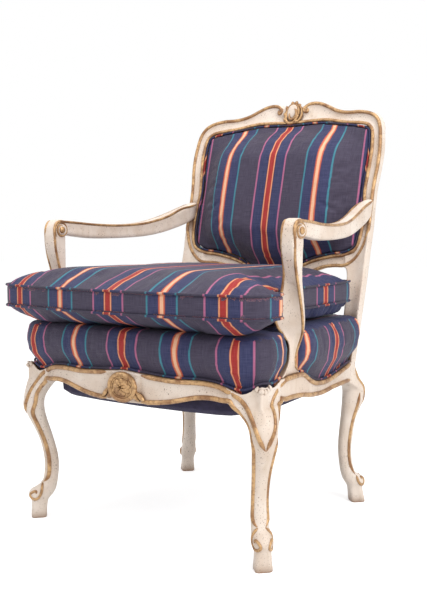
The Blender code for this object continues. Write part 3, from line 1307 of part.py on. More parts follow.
def build_cushion():
    outline = cushion_outline()
    rings = cushion_rings()
    bm = bmesh.new()
    loops = skin(bm, rings, start="flat", end="flat")
    low, high = loops[ZIP_FRONT_RING], loops[ZIP_FRONT_RING + 1]
    count = len(outline)
    rear = [i for i in range(count) if abs(outline[i][1] - CUSHION_REAR) < 1e-6
            and abs(outline[(i + 1) % count][1] - CUSHION_REAR) < 1e-6]
    slot = [bm.faces.get((low[i], low[(i + 1) % count], high[(i + 1) % count], high[i])) for i in rear[1:-1]]
    half = max(abs(outline[i][0]) for i in rear[1:-1])
    zip_low, zip_high = low[0].co.z, high[0].co.z
    bmesh.ops.delete(bm, geom=slot, context='FACES_ONLY')
    solidified(add_mesh("cushion_cover", bm, STRIPE), CLOTH)
    core = bmesh.new()
    middle = (rings[0][0][2] + rings[-1][0][2]) / 2
    squeeze = 1 - (CLOTH + 0.0025) / (rings[-1][0][2] - middle)
    inner = [[(*p, middle + (ring[0][2] - middle) * squeeze) for p in plan_inset(ring, CLOTH + 0.0040)]
             for ring in rings]
    skin(core, inner, start="flat", end="flat")
    add_mesh("cushion_core", core, FILLING)
    corner = WELT_RADIUS + JOINT_GAP + 0.0002
    for name, z, side in (("cushion_bottom_welt", rings[3][0][2], -1), ("cushion_top_welt", rings[6][0][2], 1)):
        path = plan_inset(outline, -corner * 0.68)
        tube(name, [(*p, z + side * corner * 0.60) for p in path], WELT_RADIUS, PIPING)
    tape = bmesh.new()
    bmesh.ops.create_cube(tape, size=1.0)
    size = (2 * half - 0.0012, CLOTH - 0.0004, zip_high - zip_low - 0.0012)
    place = (0, CUSHION_REAR - CLOTH / 2, (zip_low + zip_high) / 2)
    bmesh.ops.transform(tape, matrix=Matrix.Translation(place) @ Matrix.Diagonal((*size, 1)), verts=tape.verts)
    add_mesh("cushion_zip", tape, BRASS)
    CUSHION_SLIDE.location = (0, 0, CUSHION_SEAT)
    for item in CHAIR.objects:
        if item.name.startswith("cushion_") and item.type != 'EMPTY':
            item.parent = CUSHION_SLIDE
            item.location = (0, 0, -CUSHION_SEAT)


def sight_outline():
    """The opening of the back frame in its own plane, as (across, height), right half then left."""
    stretch = BACK_HALF_WIDTH / CREST_DRAWN_HALF
    top = [(p[0] * stretch, BACK_HEIGHT + p[1]) for p in smooth_path(CREST_INNER[:-1], 6)]
    side = [(stile_edges(z)[0], z) for z in reversed(STILE_HEIGHTS)]
    bottom = [(LOWER_RAIL_REACH * share, lower_rail_top(LOWER_RAIL_REACH * share))
              for share in [0.975] + [k / LOWER_RAIL_STEPS for k in range(LOWER_RAIL_STEPS - 1, -1, -1)]]
    return both_halves(top + side + bottom)


def pad_point(x, z, depth):
    """The pad's face: along the frame at its edge, domed in front of the stiles' plane further in."""
    edge = back_face_y(x, z) - PAD_EDGE_PROUD + 0.004
    plane = back_face_y(BACK_HALF_WIDTH, z)
    middle = (BACK_HEIGHT - 0.052 + LOWER_RAIL_HEIGHT) / 2
    reach = (BACK_HEIGHT - 0.052 - LOWER_RAIL_HEIGHT) / 2
    dome = max(1 - (x / (BACK_HALF_WIDTH - 0.024))**2, 0.0)**0.8 * max(1 - ((z - middle) / reach)**2, 0.0)
    face = plane - PAD_EDGE_PROUD - (PAD_PROUD - 0.026) * dome
    share = ease(depth, 0.004, 0.058)
    return (x, edge + (face - edge) * share, z)


PAD_INSET = 0.0075


def pad_rings():
    """Rings of the back pad from its edge, behind the welt, to its crown."""
    outline = sight_outline()
    edge = plan_inset(outline, PAD_INSET)
    inner = drawn_in(outline, 0.017)
    middle = (0.0, (BACK_HEIGHT + LOWER_RAIL_HEIGHT) / 2 - 0.026)
    oval = (BACK_HALF_WIDTH * 0.45, (BACK_HEIGHT - LOWER_RAIL_HEIGHT) * 0.22)
    rings = [[(x, back_face_y(x, z) + 0.004, z) for x, z in edge],
             [pad_point(x, z, PAD_INSET) for x, z in edge]]
    for share, depth in ((0.0, 0.017), (0.17, 0.033), (0.38, 0.056), (0.70, 0.1)):
        rings.append([pad_point(x, z, depth) for x, z in towards_oval(inner, middle, oval, share)])
    return rings


def build_back_cover():
    bm = bmesh.new()
    skin(bm, pad_rings(), start="open", end="fan")
    return solidified(add_mesh("back_cover", bm, STRIPE), CLOTH)


STUFFING_REAR = 0.007          # the back stuffing's rear, behind the frame's face


def build_back_stuffing():
    """The stuffing under the back cover, flat against the webbing behind it."""
    bm = bmesh.new()
    loops = skin(bm, pad_rings(), start="open", end="fan")
    moved_inward(bm, CLOTH + 0.0010)
    middle = (BACK_HEIGHT + LOWER_RAIL_HEIGHT) / 2 - 0.026
    previous = loops[0]
    for v in previous:
        v.co.y = back_face_y(v.co.x, v.co.z) + STUFFING_REAR
    outer = [v.co.copy() for v in previous]
    for factor in (0.50,):
        ring = []
        for p in outer:
            x = p.x * factor
            z = middle + (p.z - middle) * factor
            ring.append(bm.verts.new((x, back_face_y(x, z) + STUFFING_REAR, z)))
        for i in range(len(ring)):
            j = (i + 1) % len(ring)
            bm.faces.new((previous[i], ring[i], ring[j], previous[j]))
        previous = ring
    bm.faces.new(previous)
    return add_mesh("back_stuffing", bm, FILLING)


def build_back_welt():
    outline = plan_inset(sight_outline(), WELT_RADIUS + 0.0008)
    points = [(x, back_face_y(x, z) - 0.0012, z) for x, z in outline]
    return tube("back_welt", points, WELT_RADIUS, PIPING)


def build_back_webbing():
    low_z = LOWER_RAIL_HEIGHT + 0.040
    high_z = STILE_TOP
    half = POST_INNER_X - 0.012
    xs = [x - half for x in strip_edges(3, WEBBING_STRIP, 2 * half)]
    zs = [z + low_z for z in strip_edges(4, WEBBING_STRIP, high_z - low_z)]
    stretch = BACK_HALF_WIDTH / CREST_DRAWN_HALF
    inner = [(p[0] * stretch, BACK_HEIGHT + p[1]) for p in CREST_INNER]
    gap = 0.0030

    def place(i, j):
        x, z = xs[i], zs[j]
        if i in (0, len(xs) - 1):
            x = math.copysign(stile_edges(z)[0] - gap, x)
        elif j == 0:
            z = lower_rail_top(x) + gap
        elif j == len(zs) - 1:
            z = smooth_at(inner, abs(x)) - gap
        return (x, back_face_y(x, z) + STUFFING_REAR + 0.0014 + WEBBING_THICKNESS / 2, z)

    return lattice("back_webbing", xs, zs, place, WEBBING_THICKNESS, JUTE)


def build_outside_back():
    """The cloth that closes the back from behind, with a cord over its edge."""
    outline = sight_outline()
    depth = BACK_THICKNESS - 0.0065
    rings = [[(x, back_face_y(x, z) + depth, z) for x, z in plan_inset(outline, 0.0012)]]
    middle = (BACK_HEIGHT + LOWER_RAIL_HEIGHT) / 2 - 0.026
    for factor in (0.55,):
        rings.append([(x * factor, back_face_y(x * factor, middle + (z - middle) * factor) + depth,
                       middle + (z - middle) * factor) for x, z in plan_inset(outline, 0.0012)])
    bm = bmesh.new()
    skin(bm, rings, start="open", end="fan")
    item = add_mesh("outside_back", bm, STRIPE)
    modifier = item.modifiers.new("thickness", 'SOLIDIFY')
    modifier.thickness = CLOTH
    modifier.offset = 0.0
    path = plan_inset(outline, WELT_RADIUS + 0.0010)
    rear = depth + CLOTH / 2 + WELT_RADIUS + JOINT_GAP + 0.0002
    tube("outside_back_gimp", [(x, back_face_y(x, z) + rear, z) for x, z in path], WELT_RADIUS, PIPING,
         resolution=0)


build_seat_cover()
build_seat_stuffing()
build_seat_welts()
build_seat_webbing()
build_springs()
build_hessian()
build_bottom_cover()
build_cushion()
build_back_cover()
build_back_stuffing()
build_back_welt()
build_back_webbing()
build_outside_back()


def centre_on_floor():
    """Move the chair so that its box stands centred on the origin."""
    bpy.context.view_layer.update()
    graph = bpy.context.evaluated_depsgraph_get()
    reach = []
    for item in CHAIR.objects:
        if item.type != 'EMPTY':
            solid = item.evaluated_get(graph)
            reach += [(solid.matrix_world @ Vector(corner)).y for corner in solid.bound_box]
    ORIGIN.location.y = -(min(reach) + max(reach)) / 2
    print(f"chair_origin y {ORIGIN.location.y:.5f}")


centre_on_floor()
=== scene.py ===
# %% [markdown]
# # A painted open armchair with striped upholstery
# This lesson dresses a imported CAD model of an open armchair. The show wood is carved, painted cream and
# picked out in gilt. The seat is sprung and tight, the back is padded, and a loose T-shaped cushion lies
# between the arms. The CAD model gives every place and size: each new piece is cut, lifted or swept from
# the solid that it stands for, or laid on its skin.

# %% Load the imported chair
import json
import math

import bmesh
import bpy
import numpy as np
from mathutils import Matrix, Vector
from mathutils.bvhtree import BVHTree
from mathutils.kdtree import KDTree


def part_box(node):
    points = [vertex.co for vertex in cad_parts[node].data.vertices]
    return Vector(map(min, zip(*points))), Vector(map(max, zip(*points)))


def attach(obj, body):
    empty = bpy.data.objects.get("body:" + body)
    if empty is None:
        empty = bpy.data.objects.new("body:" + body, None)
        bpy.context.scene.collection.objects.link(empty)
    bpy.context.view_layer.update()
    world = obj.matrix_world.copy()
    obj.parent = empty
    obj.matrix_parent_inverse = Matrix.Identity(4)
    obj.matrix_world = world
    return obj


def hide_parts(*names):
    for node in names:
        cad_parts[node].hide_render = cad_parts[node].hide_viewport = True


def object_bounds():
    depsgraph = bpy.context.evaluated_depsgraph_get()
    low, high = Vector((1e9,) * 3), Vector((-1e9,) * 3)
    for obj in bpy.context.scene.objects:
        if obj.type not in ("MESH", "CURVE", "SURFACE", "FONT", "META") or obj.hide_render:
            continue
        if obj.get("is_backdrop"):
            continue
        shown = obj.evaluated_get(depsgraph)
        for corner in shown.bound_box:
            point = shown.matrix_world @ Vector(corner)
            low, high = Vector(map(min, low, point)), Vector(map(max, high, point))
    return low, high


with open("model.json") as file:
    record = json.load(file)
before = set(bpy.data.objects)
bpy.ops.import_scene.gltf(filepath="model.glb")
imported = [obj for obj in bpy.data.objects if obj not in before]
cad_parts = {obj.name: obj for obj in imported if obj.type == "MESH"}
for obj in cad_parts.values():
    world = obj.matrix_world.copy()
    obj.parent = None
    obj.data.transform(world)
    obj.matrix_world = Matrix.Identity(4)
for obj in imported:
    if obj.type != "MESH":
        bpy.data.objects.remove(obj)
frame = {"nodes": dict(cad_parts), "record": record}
NODES = frame["nodes"]
CAD_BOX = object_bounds()
MM = 0.001
SIDES = (("left", -1), ("right", 1))
print("CAD box", [tuple(round(c, 3) for c in corner) for corner in CAD_BOX])

# %% [markdown]
# ## The camera
# The photograph was taken from in front and to the chair's right, a little above the cushion. The
# chair's own symmetry gave the camera's direction and lens. It goes in first.

# %% Place the camera
CAMERA_PLACE = Vector((1.1733, -1.7341, 0.6522))
CAMERA_TURN = math.radians(34.17)
CAMERA_DIP = math.radians(4.92)
LENS_MM = 53.98
SENSOR_MM = 36.0

camera_data = bpy.data.cameras.new("camera")
camera_data.lens = LENS_MM
camera_data.sensor_width = SENSOR_MM
camera = bpy.data.objects.new("camera", camera_data)
bpy.context.scene.collection.objects.link(camera)
camera.location = CAMERA_PLACE
sight = Vector((-math.sin(CAMERA_TURN) * math.cos(CAMERA_DIP), math.cos(CAMERA_TURN) * math.cos(CAMERA_DIP),
                -math.sin(CAMERA_DIP)))
camera.rotation_euler = sight.to_track_quat("-Z", "Y").to_euler()
bpy.context.scene.camera = camera

# %% [markdown]
# ## Node helpers
# A procedural finish is a small graph of nodes. These helpers add one node and join its inputs, so that
# each finish below reads from its texture to its surface.


# %% Helpers for shader nodes
def node_in(tree, kind, inputs=(), **settings):
    """Add a shader node. An input's value is a number, a colour, or another node's output."""
    node = tree.nodes.new(kind)
    for key, value in settings.items():
        setattr(node, key, value)
    for key, value in dict(inputs).items():
        if isinstance(value, bpy.types.NodeSocket):
            tree.links.new(value, node.inputs[key])
        else:
            node.inputs[key].default_value = value
    return node


def maths(tree, operation, first, second=0.0):
    return node_in(tree, "ShaderNodeMath", {0: first, 1: second}, operation=operation).outputs[0]


def mixed(tree, share, first, second):
    """Mix two colours by a share. Sockets 6 and 7, and output 2, are the node's colours."""
    return node_in(tree, "ShaderNodeMix", {"Factor": share, 6: first, 7: second}, data_type="RGBA").outputs[2]


def stepped(tree, value, low, high):
    """A smooth step from 0 at low to 1 at high."""
    return node_in(tree, "ShaderNodeMapRange", {"Value": value, "From Min": low, "From Max": high},
                   interpolation_type="SMOOTHSTEP").outputs[0]


def linear(red, green, blue):
    """A colour written as a screen shows it, from 0 to 255, turned into the linear value a shader reads."""
    channels = [c / 255 for c in (red, green, blue)]
    return (*[c / 12.92 if c <= 0.04045 else ((c + 0.055) / 1.055)**2.4 for c in channels], 1.0)


def new_finish(name, roughness, **fixed):
    """A material with its tree, its shader and its Object coordinates. Fixed values go on the sockets."""
    material = bpy.data.materials.new(name)
    material.use_nodes = True
    tree = material.node_tree
    shader = tree.nodes["Principled BSDF"]
    shader.inputs["Roughness"].default_value = roughness
    for key, value in fixed.items():
        shader.inputs[key.replace("_", " ")].default_value = value
    place = tree.nodes.new("ShaderNodeTexCoord").outputs["Object"]
    return material, tree, shader, place


def stretched(tree, place, scale):
    return node_in(tree, "ShaderNodeMapping", {"Vector": place, "Scale": scale}).outputs[0]


def noise(tree, place, scale, detail=4.0, roughness=0.55):
    return node_in(tree, "ShaderNodeTexNoise", {"Vector": place, "Scale": scale, "Detail": detail,
                                                "Roughness": roughness}).outputs[0]


def bumped(tree, shader, height, distance, strength=1.0):
    bump = node_in(tree, "ShaderNodeBump", {"Height": height, "Distance": distance, "Strength": strength})
    tree.links.new(bump.outputs[0], shader.inputs["Normal"])


# %% [markdown]
# ## The painted wood
# The real frame is beech under an antique cream paint. The finisher rubbed a brown glaze into every
# hollow, wiped it off the high places, and flicked dark specks over it from a stiff brush. Noise gives
# the cloudy cream. Ambient occlusion browns the paint wherever another surface is near, which stands for
# the glaze and is also painted shade. Two sizes of cell noise give the specks, because flicked paint
# lands as round dots.


# %% Make the antique cream paint
PAINT_CREAM = linear(234, 220, 207)
PAINT_CLOUD = linear(216, 196, 178)
PAINT_STREAK = linear(196, 172, 140)
GLAZE_AND_SHADE_BROWN = linear(142, 108, 82)
SPECK_BROWN = linear(112, 84, 62)
GLAZE_AND_SHADE_REACH = 0.030            # how near the next surface is for the glaze and the painted shade to come in
SHAKE = 0.006                  # how far noise pulls the specks out of round


def flicked(tree, place, scale, size, share):
    """Round dots of one size, left out in most cells."""
    cells = node_in(tree, "ShaderNodeTexVoronoi", {"Vector": place, "Scale": scale, "Randomness": 1.0})
    dot = stepped(tree, cells.outputs["Distance"], size, size * 0.45)
    chosen = node_in(tree, "ShaderNodeSeparateColor", {"Color": cells.outputs["Color"]})
    kept = maths(tree, "LESS_THAN", chosen.outputs[0], share)
    return maths(tree, "MULTIPLY", dot, kept)


def paint_finish():
    material, tree, shader, place = new_finish("antique_cream_paint", 0.42, Specular_IOR_Level=0.35)
    wobble = node_in(tree, "ShaderNodeTexNoise", {"Vector": place, "Scale": 60.0, "Detail": 2.0})
    shaken = node_in(tree, "ShaderNodeVectorMath",
                     {0: place, 1: node_in(tree, "ShaderNodeVectorMath",
                                           {0: wobble.outputs["Color"], "Scale": SHAKE},
                                           operation="SCALE").outputs[0]}).outputs[0]
    cloud = noise(tree, place, 11.0, 5.0)
    streak = noise(tree, stretched(tree, place, (60, 60, 9)), 1.0, 3.0)
    cream = mixed(tree, stepped(tree, cloud, 0.35, 0.70), PAINT_CREAM, PAINT_CLOUD)
    cream = mixed(tree, maths(tree, "MULTIPLY", stepped(tree, streak, 0.52, 0.75), 0.30), cream, PAINT_STREAK)
    # ambient occlusion browns the hollows and the places near other parts: the glaze, and painted shade
    hollow = node_in(tree, "ShaderNodeAmbientOcclusion", {"Distance": GLAZE_AND_SHADE_REACH}, samples=6).outputs["AO"]
    glaze_and_shade = maths(tree, "MULTIPLY", stepped(tree, hollow, 0.95, 0.40), 0.90)
    cream = mixed(tree, glaze_and_shade, cream, GLAZE_AND_SHADE_BROWN)
    large = flicked(tree, shaken, 120.0, 0.21, 0.42)
    small = flicked(tree, shaken, 310.0, 0.30, 0.55)
    where = stepped(tree, noise(tree, place, 17.0, 2.0), 0.32, 0.56)
    specks = maths(tree, "MULTIPLY", maths(tree, "MAXIMUM", large, small), where)
    colour = mixed(tree, maths(tree, "MULTIPLY", specks, 0.78), cream, SPECK_BROWN)
    tree.links.new(colour, shader.inputs["Base Color"])
    brushed = noise(tree, stretched(tree, place, (260, 260, 40)), 1.0, 2.0)
    bumped(tree, shader, brushed, 0.0006, 0.35)
    return material


PAINT = paint_finish()

# %% [markdown]
# ## The gilding
# The beads that edge the frame are gilt over a red-brown ground. The gold is thin and dull, it has rubbed
# through in patches, and dirt has settled in its hollows. So the finish mixes an ochre gold with brown by
# noise. It darkens the hollows by ambient occlusion, which stands for the dirt and is also painted shade
# along each raised bead's sides, and it lets the brown be rougher than the gold.


# %% Make the rubbed gilding
GOLD = linear(198, 159, 112)
GOLD_DULL = linear(149, 109, 73)
GROUND_BROWN = linear(112, 76, 52)
DIRT_AND_SHADE = linear(96, 64, 38)
DIRT_AND_SHADE_REACH = 0.006


def gilt_finish():
    material, tree, shader, place = new_finish("rubbed_gilding", 0.42, Metallic=0.35)
    worn = stepped(tree, noise(tree, place, 170.0, 5.0, 0.65), 0.44, 0.68)
    patches = stepped(tree, noise(tree, place, 34.0, 3.0), 0.40, 0.64)
    gold = mixed(tree, patches, GOLD, GOLD_DULL)
    # ambient occlusion darkens the hollows: settled dirt, and painted shade along each bead's sides
    hollow = node_in(tree, "ShaderNodeAmbientOcclusion", {"Distance": DIRT_AND_SHADE_REACH}, samples=6).outputs["AO"]
    dirt_and_shade = maths(tree, "MULTIPLY", stepped(tree, hollow, 0.85, 0.30), 0.85)
    gold = mixed(tree, maths(tree, "MULTIPLY", worn, 0.60), gold, GROUND_BROWN)
    gold = mixed(tree, dirt_and_shade, gold, DIRT_AND_SHADE)
    tree.links.new(gold, shader.inputs["Base Color"])
    rough = node_in(tree, "ShaderNodeMapRange", {"Value": worn, "To Min": 0.36, "To Max": 0.62}).outputs[0]
    tree.links.new(rough, shader.inputs["Roughness"])
    bumped(tree, shader, noise(tree, place, 420.0, 3.0), 0.0006, 0.5)
    return material


GILT = gilt_finish()

# %% [markdown]
# ## The striped cloth
# The cover is a ribbed, slightly shiny cloth with a repeat of 26 centimetres. A red stripe with cream
# edges stands at the middle, an orange to cream one half a repeat away, and a thin line runs on each side
# of both. The pattern reads each piece's own map, in metres across and along the stripes, because the
# stripes turn the corners of a border as the cut cloth does. PINGPONG folds the repeat on its mirror
# line, so one colour ramp from 0 to half a repeat holds the whole design.

# %% Make the striped cloth
REPEAT = 0.260
HALF_REPEAT = REPEAT / 2
SLATE = linear(58, 50, 72)
NAVY = linear(38, 44, 88)
TEAL = linear(52, 130, 148)
PINK = linear(182, 100, 138)
RED = linear(172, 34, 24)
ORANGE = linear(228, 110, 66)
CREAM = linear(252, 196, 156)
# millimetres from the red stripe's middle at which each colour starts
STRIPES = [(0.0, RED), (5.6, linear(206, 84, 56)), (6.6, linear(244, 168, 118)), (9.2, linear(140, 52, 52)),
           (10.0, NAVY), (35.2, PINK), (39.4, SLATE), (93.8, TEAL), (98.0, NAVY),
           (122.2, linear(190, 84, 64)), (124.0, ORANGE), (126.2, CREAM), (130.0, CREAM)]
BLUR = 0.35                    # half the width over which two colours meet, in millimetres
STRIPE_DRIFT = 0.0012
WEFT_PITCH = 0.0011
WARP_PITCH = 0.0007
BLACK = (0.0, 0.0, 0.0, 1.0)
SHEEN = (0.75, 0.70, 0.85, 1.0)


def striped_finish(name, brightness=1.0):
    material, tree, shader, place = new_finish(name, 0.62, Sheen_Weight=0.06, Sheen_Roughness=0.4,
                                               Specular_IOR_Level=0.30)
    cloth = node_in(tree, "ShaderNodeUVMap", uv_map="cloth").outputs[0]
    across, along, _ = node_in(tree, "ShaderNodeSeparateXYZ", {0: cloth}).outputs
    drift = maths(tree, "MULTIPLY", maths(tree, "SUBTRACT", noise(tree, place, 9.0, 2.0), 0.5), STRIPE_DRIFT)
    folded = maths(tree, "PINGPONG", maths(tree, "ADD", across, drift), HALF_REPEAT)
    ramp = node_in(tree, "ShaderNodeValToRGB", {0: maths(tree, "DIVIDE", folded, HALF_REPEAT)})
    stops = []
    for (start, colour), (_, before) in zip(STRIPES[1:], STRIPES[:-1]):
        stops += [(start - BLUR, before), (start + BLUR, colour)]
    band = ramp.color_ramp
    band.elements[0].position = 0.0
    band.elements[0].color = STRIPES[0][1]
    band.elements[1].position = 1.0
    band.elements[1].color = STRIPES[-1][1]
    for start, colour in stops[:-2]:
        band.elements.new(start * MM / HALF_REPEAT).color = colour
    weft = maths(tree, "SINE", maths(tree, "MULTIPLY", along, 2 * math.pi / WEFT_PITCH))
    warp = maths(tree, "SINE", maths(tree, "MULTIPLY", across, 2 * math.pi / WARP_PITCH))
    weave = maths(tree, "ADD", maths(tree, "MULTIPLY", weft, 0.6), maths(tree, "MULTIPLY", warp, 0.4))
    slub = noise(tree, stretched(tree, cloth, (1500, 30, 1)), 1.0, 3.0)
    cross = noise(tree, stretched(tree, cloth, (30, 1700, 1)), 1.0, 3.0)
    shade = maths(tree, "ADD", maths(tree, "MULTIPLY", slub, 0.5), maths(tree, "MULTIPLY", cross, 0.5))
    # the slub noise draws the cloth between a darker tone and a lighter one that carries a painted sheen
    dark = mixed(tree, 0.24, ramp.outputs[0], BLACK)
    light = mixed(tree, 0.045, ramp.outputs[0], SHEEN)
    colour = mixed(tree, stepped(tree, shade, 0.38, 0.62), dark, light)
    if brightness < 1:
        colour = mixed(tree, 1 - brightness, colour, BLACK)
    tree.links.new(colour, shader.inputs["Base Color"])
    height = maths(tree, "ADD", maths(tree, "MULTIPLY", weave, 0.5), shade)
    bumped(tree, shader, height, 0.0005, 0.6)
    return material


STRIPED = striped_finish("striped_cloth")
WELT_CLOTH = striped_finish("striped_welt_cloth", 0.80)

# %% [markdown]
# ## The hidden finishes
# An upholsterer's inside is bare beech, jute webbing and hessian, pale stuffing, and steel springs, and
# a thin dark cloth closes it from below. Few people see them, but each still gets its own grain or
# weave, because the pieces can be taken apart.


# %% Make the hidden finishes
def woven_finish(name, dark, light, pitch, roughness=0.9):
    material, tree, shader, place = new_finish(name, roughness)
    x, y, z = node_in(tree, "ShaderNodeSeparateXYZ", {0: place}).outputs
    threads = [maths(tree, "SINE", maths(tree, "MULTIPLY", axis, 2 * math.pi / pitch)) for axis in (x, y, z)]
    weave = maths(tree, "ADD", maths(tree, "MULTIPLY", threads[0], threads[1]), threads[2])
    share = maths(tree, "ADD", maths(tree, "MULTIPLY", weave, 0.2), noise(tree, place, 60.0))
    tree.links.new(mixed(tree, stepped(tree, share, 0.2, 0.9), dark, light), shader.inputs["Base Color"])
    bumped(tree, shader, weave, 0.0004, 0.6)
    return material


def grained_finish(name, dark, light, scale, roughness=0.6, metallic=0.0, bump=0.0004):
    material, tree, shader, place = new_finish(name, roughness, Metallic=metallic)
    grain = noise(tree, stretched(tree, place, scale), 1.0, 5.0)
    tree.links.new(mixed(tree, stepped(tree, grain, 0.35, 0.65), dark, light), shader.inputs["Base Color"])
    bumped(tree, shader, grain, bump, 0.5)
    return material


JUTE = woven_finish("jute_webbing", linear(132, 100, 62), linear(196, 164, 116), 0.0024)
DUST_CLOTH = woven_finish("dust_cloth", linear(34, 30, 52), linear(60, 54, 84), 0.0016)
STUFFING = grained_finish("soft_stuffing", linear(206, 198, 180), linear(232, 226, 212), (90, 90, 90), 0.95,
                          bump=0.002)
BEECH = grained_finish("bare_beech", linear(176, 132, 92), linear(206, 164, 122), (30, 160, 160))
SPRING_STEEL = grained_finish("spring_steel", linear(110, 112, 116), linear(160, 162, 168), (400, 400, 60),
                              0.35, 1.0)
ZIP_BRASS = grained_finish("zip_brass", linear(150, 112, 54), linear(206, 166, 96), (900, 60, 900), 0.35, 1.0,
                           0.0008)
FINISH_OF_SLOT = {"cream_paint": PAINT, "beech": BEECH, "striped_cloth": STRIPED, "welt_cloth": WELT_CLOTH,
                  "dark_cloth": DUST_CLOTH, "jute": JUTE, "filling": STUFFING, "spring_steel": SPRING_STEEL,
                  "brass": ZIP_BRASS}
SLOT_OF_NODE = {part["node"]: part["material_slot"] for part in frame["record"]["subparts"]}
for name, node in NODES.items():
    for place_in_mesh in node.material_slots:
        place_in_mesh.material = FINISH_OF_SLOT[SLOT_OF_NODE[name]]
print(len(NODES), "CAD nodes have their finishes")

# %% [markdown]
# ## Helpers for shapes
# A CAD node arrives as loose triangles. A copy with its doubles merged can be cut by a plane to find its
# edges at any place, which is how the mouldings below know where to run. Every new piece is added by one
# helper, which names its finish, its body and the nodes that it stands for.


# %% Helpers that read and cut the CAD nodes
MERGED = {}


def merged(name):
    """A bmesh copy of a CAD node, with its loose triangles joined."""
    if name not in MERGED:
        bm = bmesh.new()
        bm.from_mesh(NODES[name].data)
        bmesh.ops.remove_doubles(bm, verts=bm.verts, dist=0.02 * MM)
        MERGED[name] = bm
    return MERGED[name].copy()


def section(name, place, normal):
    """The points where a plane cuts a CAD node."""
    bm = merged(name)
    cut = bmesh.ops.bisect_plane(bm, geom=bm.verts[:] + bm.edges[:] + bm.faces[:], plane_co=place,
                                 plane_no=normal)
    points = [v.co.copy() for v in cut["geom_cut"] if isinstance(v, bmesh.types.BMVert)]
    bm.free()
    return points


def surface_of(*names):
    """A search tree over some CAD nodes together."""
    points = []
    faces = []
    for name in names:
        mesh = NODES[name].data
        start = len(points)
        points += [v.co.copy() for v in mesh.vertices]
        faces += [[start + k for k in face.vertices] for face in mesh.polygons]
    return BVHTree.FromPolygons(points, faces)


def surface_of_piece(piece):
    """A search tree over a new piece."""
    mesh = piece.data
    points = [v.co.copy() for v in mesh.vertices]
    return BVHTree.FromPolygons(points, [list(face.vertices) for face in mesh.polygons])


def smooth_line(points, step):
    """A smooth line through guide points, as evenly spaced points."""
    points = [Vector(p) for p in points]
    fine = []
    for k in range(len(points) - 1):
        before = points[max(k - 1, 0)]
        after = points[min(k + 2, len(points) - 1)]
        start, end = points[k], points[k + 1]
        slope = end - before
        bend = 2 * before - 5 * start + 4 * end - after
        twist = 3 * start - before - 3 * end + after
        for t in np.linspace(0, 1, 12, endpoint=False):
            fine.append(0.5 * (2 * start + slope * t + bend * t**2 + twist * t**3))
    fine.append(points[-1])
    lengths = np.concatenate([[0.0], np.cumsum([(b - a).length for a, b in zip(fine, fine[1:])])])
    count = max(int(round(lengths[-1] / step)), 2)
    goals = np.linspace(0, lengths[-1], count + 1)
    columns = [np.interp(goals, lengths, [p[k] for p in fine]) for k in range(3)]
    return [Vector(p) for p in zip(*columns)]


# %% Helpers that add a piece
def add_piece(name, bm, finish, body="frame", stands_for=(), smooth=True):
    """Add a bmesh as a piece that rides on a body and stands for CAD nodes."""
    mesh = bpy.data.meshes.new(name)
    bm.to_mesh(mesh)
    bm.free()
    mesh.materials.append(finish)
    if smooth:
        mesh.shade_smooth()
    piece = bpy.data.objects.new(name, mesh)
    bpy.context.scene.collection.objects.link(piece)
    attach(piece, body)
    if stands_for:
        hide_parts(*stands_for)
    return piece


def rounded(piece, levels):
    modifier = piece.modifiers.new("rounding", "SUBSURF")
    modifier.levels = levels
    modifier.render_levels = levels


def baked_mesh(piece):
    """Apply a piece's modifiers, so that what they made can be edited further."""
    graph = bpy.context.evaluated_depsgraph_get()
    graph.update()
    mesh = bpy.data.meshes.new_from_object(piece.evaluated_get(graph))
    old = piece.data
    piece.modifiers.clear()
    piece.data = mesh
    bpy.data.meshes.remove(old)


def even_faces(piece, grain):
    """Rebuild a piece from small equal faces."""
    remesh = piece.modifiers.new("even faces", "REMESH")
    remesh.mode = "VOXEL"
    remesh.voxel_size = grain
    baked_mesh(piece)


def smoothed(piece, passes, free=lambda place: True):
    """Smooth a piece a few times wherever its points are free to move."""
    bm = bmesh.new()
    bm.from_mesh(piece.data)
    for _ in range(passes):
        loose = [v for v in bm.verts if free(v.co)]
        bmesh.ops.smooth_vert(bm, verts=loose, factor=0.5, use_axis_x=True, use_axis_y=True, use_axis_z=True)
    bm.to_mesh(piece.data)
    bm.free()
    piece.data.shade_smooth()


def flat_joined(bm, bend, skew=80):
    """Join the CAD model's triangles into quads where the surface bends less than some degrees."""
    bmesh.ops.join_triangles(bm, faces=bm.faces, angle_face_threshold=math.radians(bend),
                             angle_shape_threshold=math.radians(skew))


# %% [markdown]
# ## The carved wood
# A carver rounds what a machine leaves flat, and the paint hides the joints. So the solids of one part of
# the frame are first rounded by subdivision, then rebuilt together from small equal faces, and last
# smoothed a little, which closes the joints between them. Rounding draws a shape in, so each cage is first
# pushed out by what was lost, until the rounded skin passes through the solid's own corners again. Under
# the roll of each arm a filler closes the notch that the two solids leave.

# %% Round the wooden pieces and grow them together
CREASE_FROM = math.radians(42)
CREASE = 0.7
OVERLAP = 0.35 * MM            # closes the gap that the solids keep between them
CAGE_ROUNDS = 2
CAGE_PUSH = 0.7                # the share of what was lost that each round gives back


def fit_cage(piece):
    """Push a cage out until its rounded surface passes through the cage's own first corners."""
    goals = np.array([v.co for v in piece.data.vertices])
    for _ in range(CAGE_ROUNDS):
        graph = bpy.context.evaluated_depsgraph_get()
        graph.update()
        skin = piece.evaluated_get(graph).data
        reached = np.array([skin.vertices[k].co for k in range(len(goals))])
        cage = np.array([v.co for v in piece.data.vertices]) + CAGE_PUSH * (goals - reached)
        piece.data.vertices.foreach_set("co", cage.astype(np.float32).ravel())
        piece.data.update()


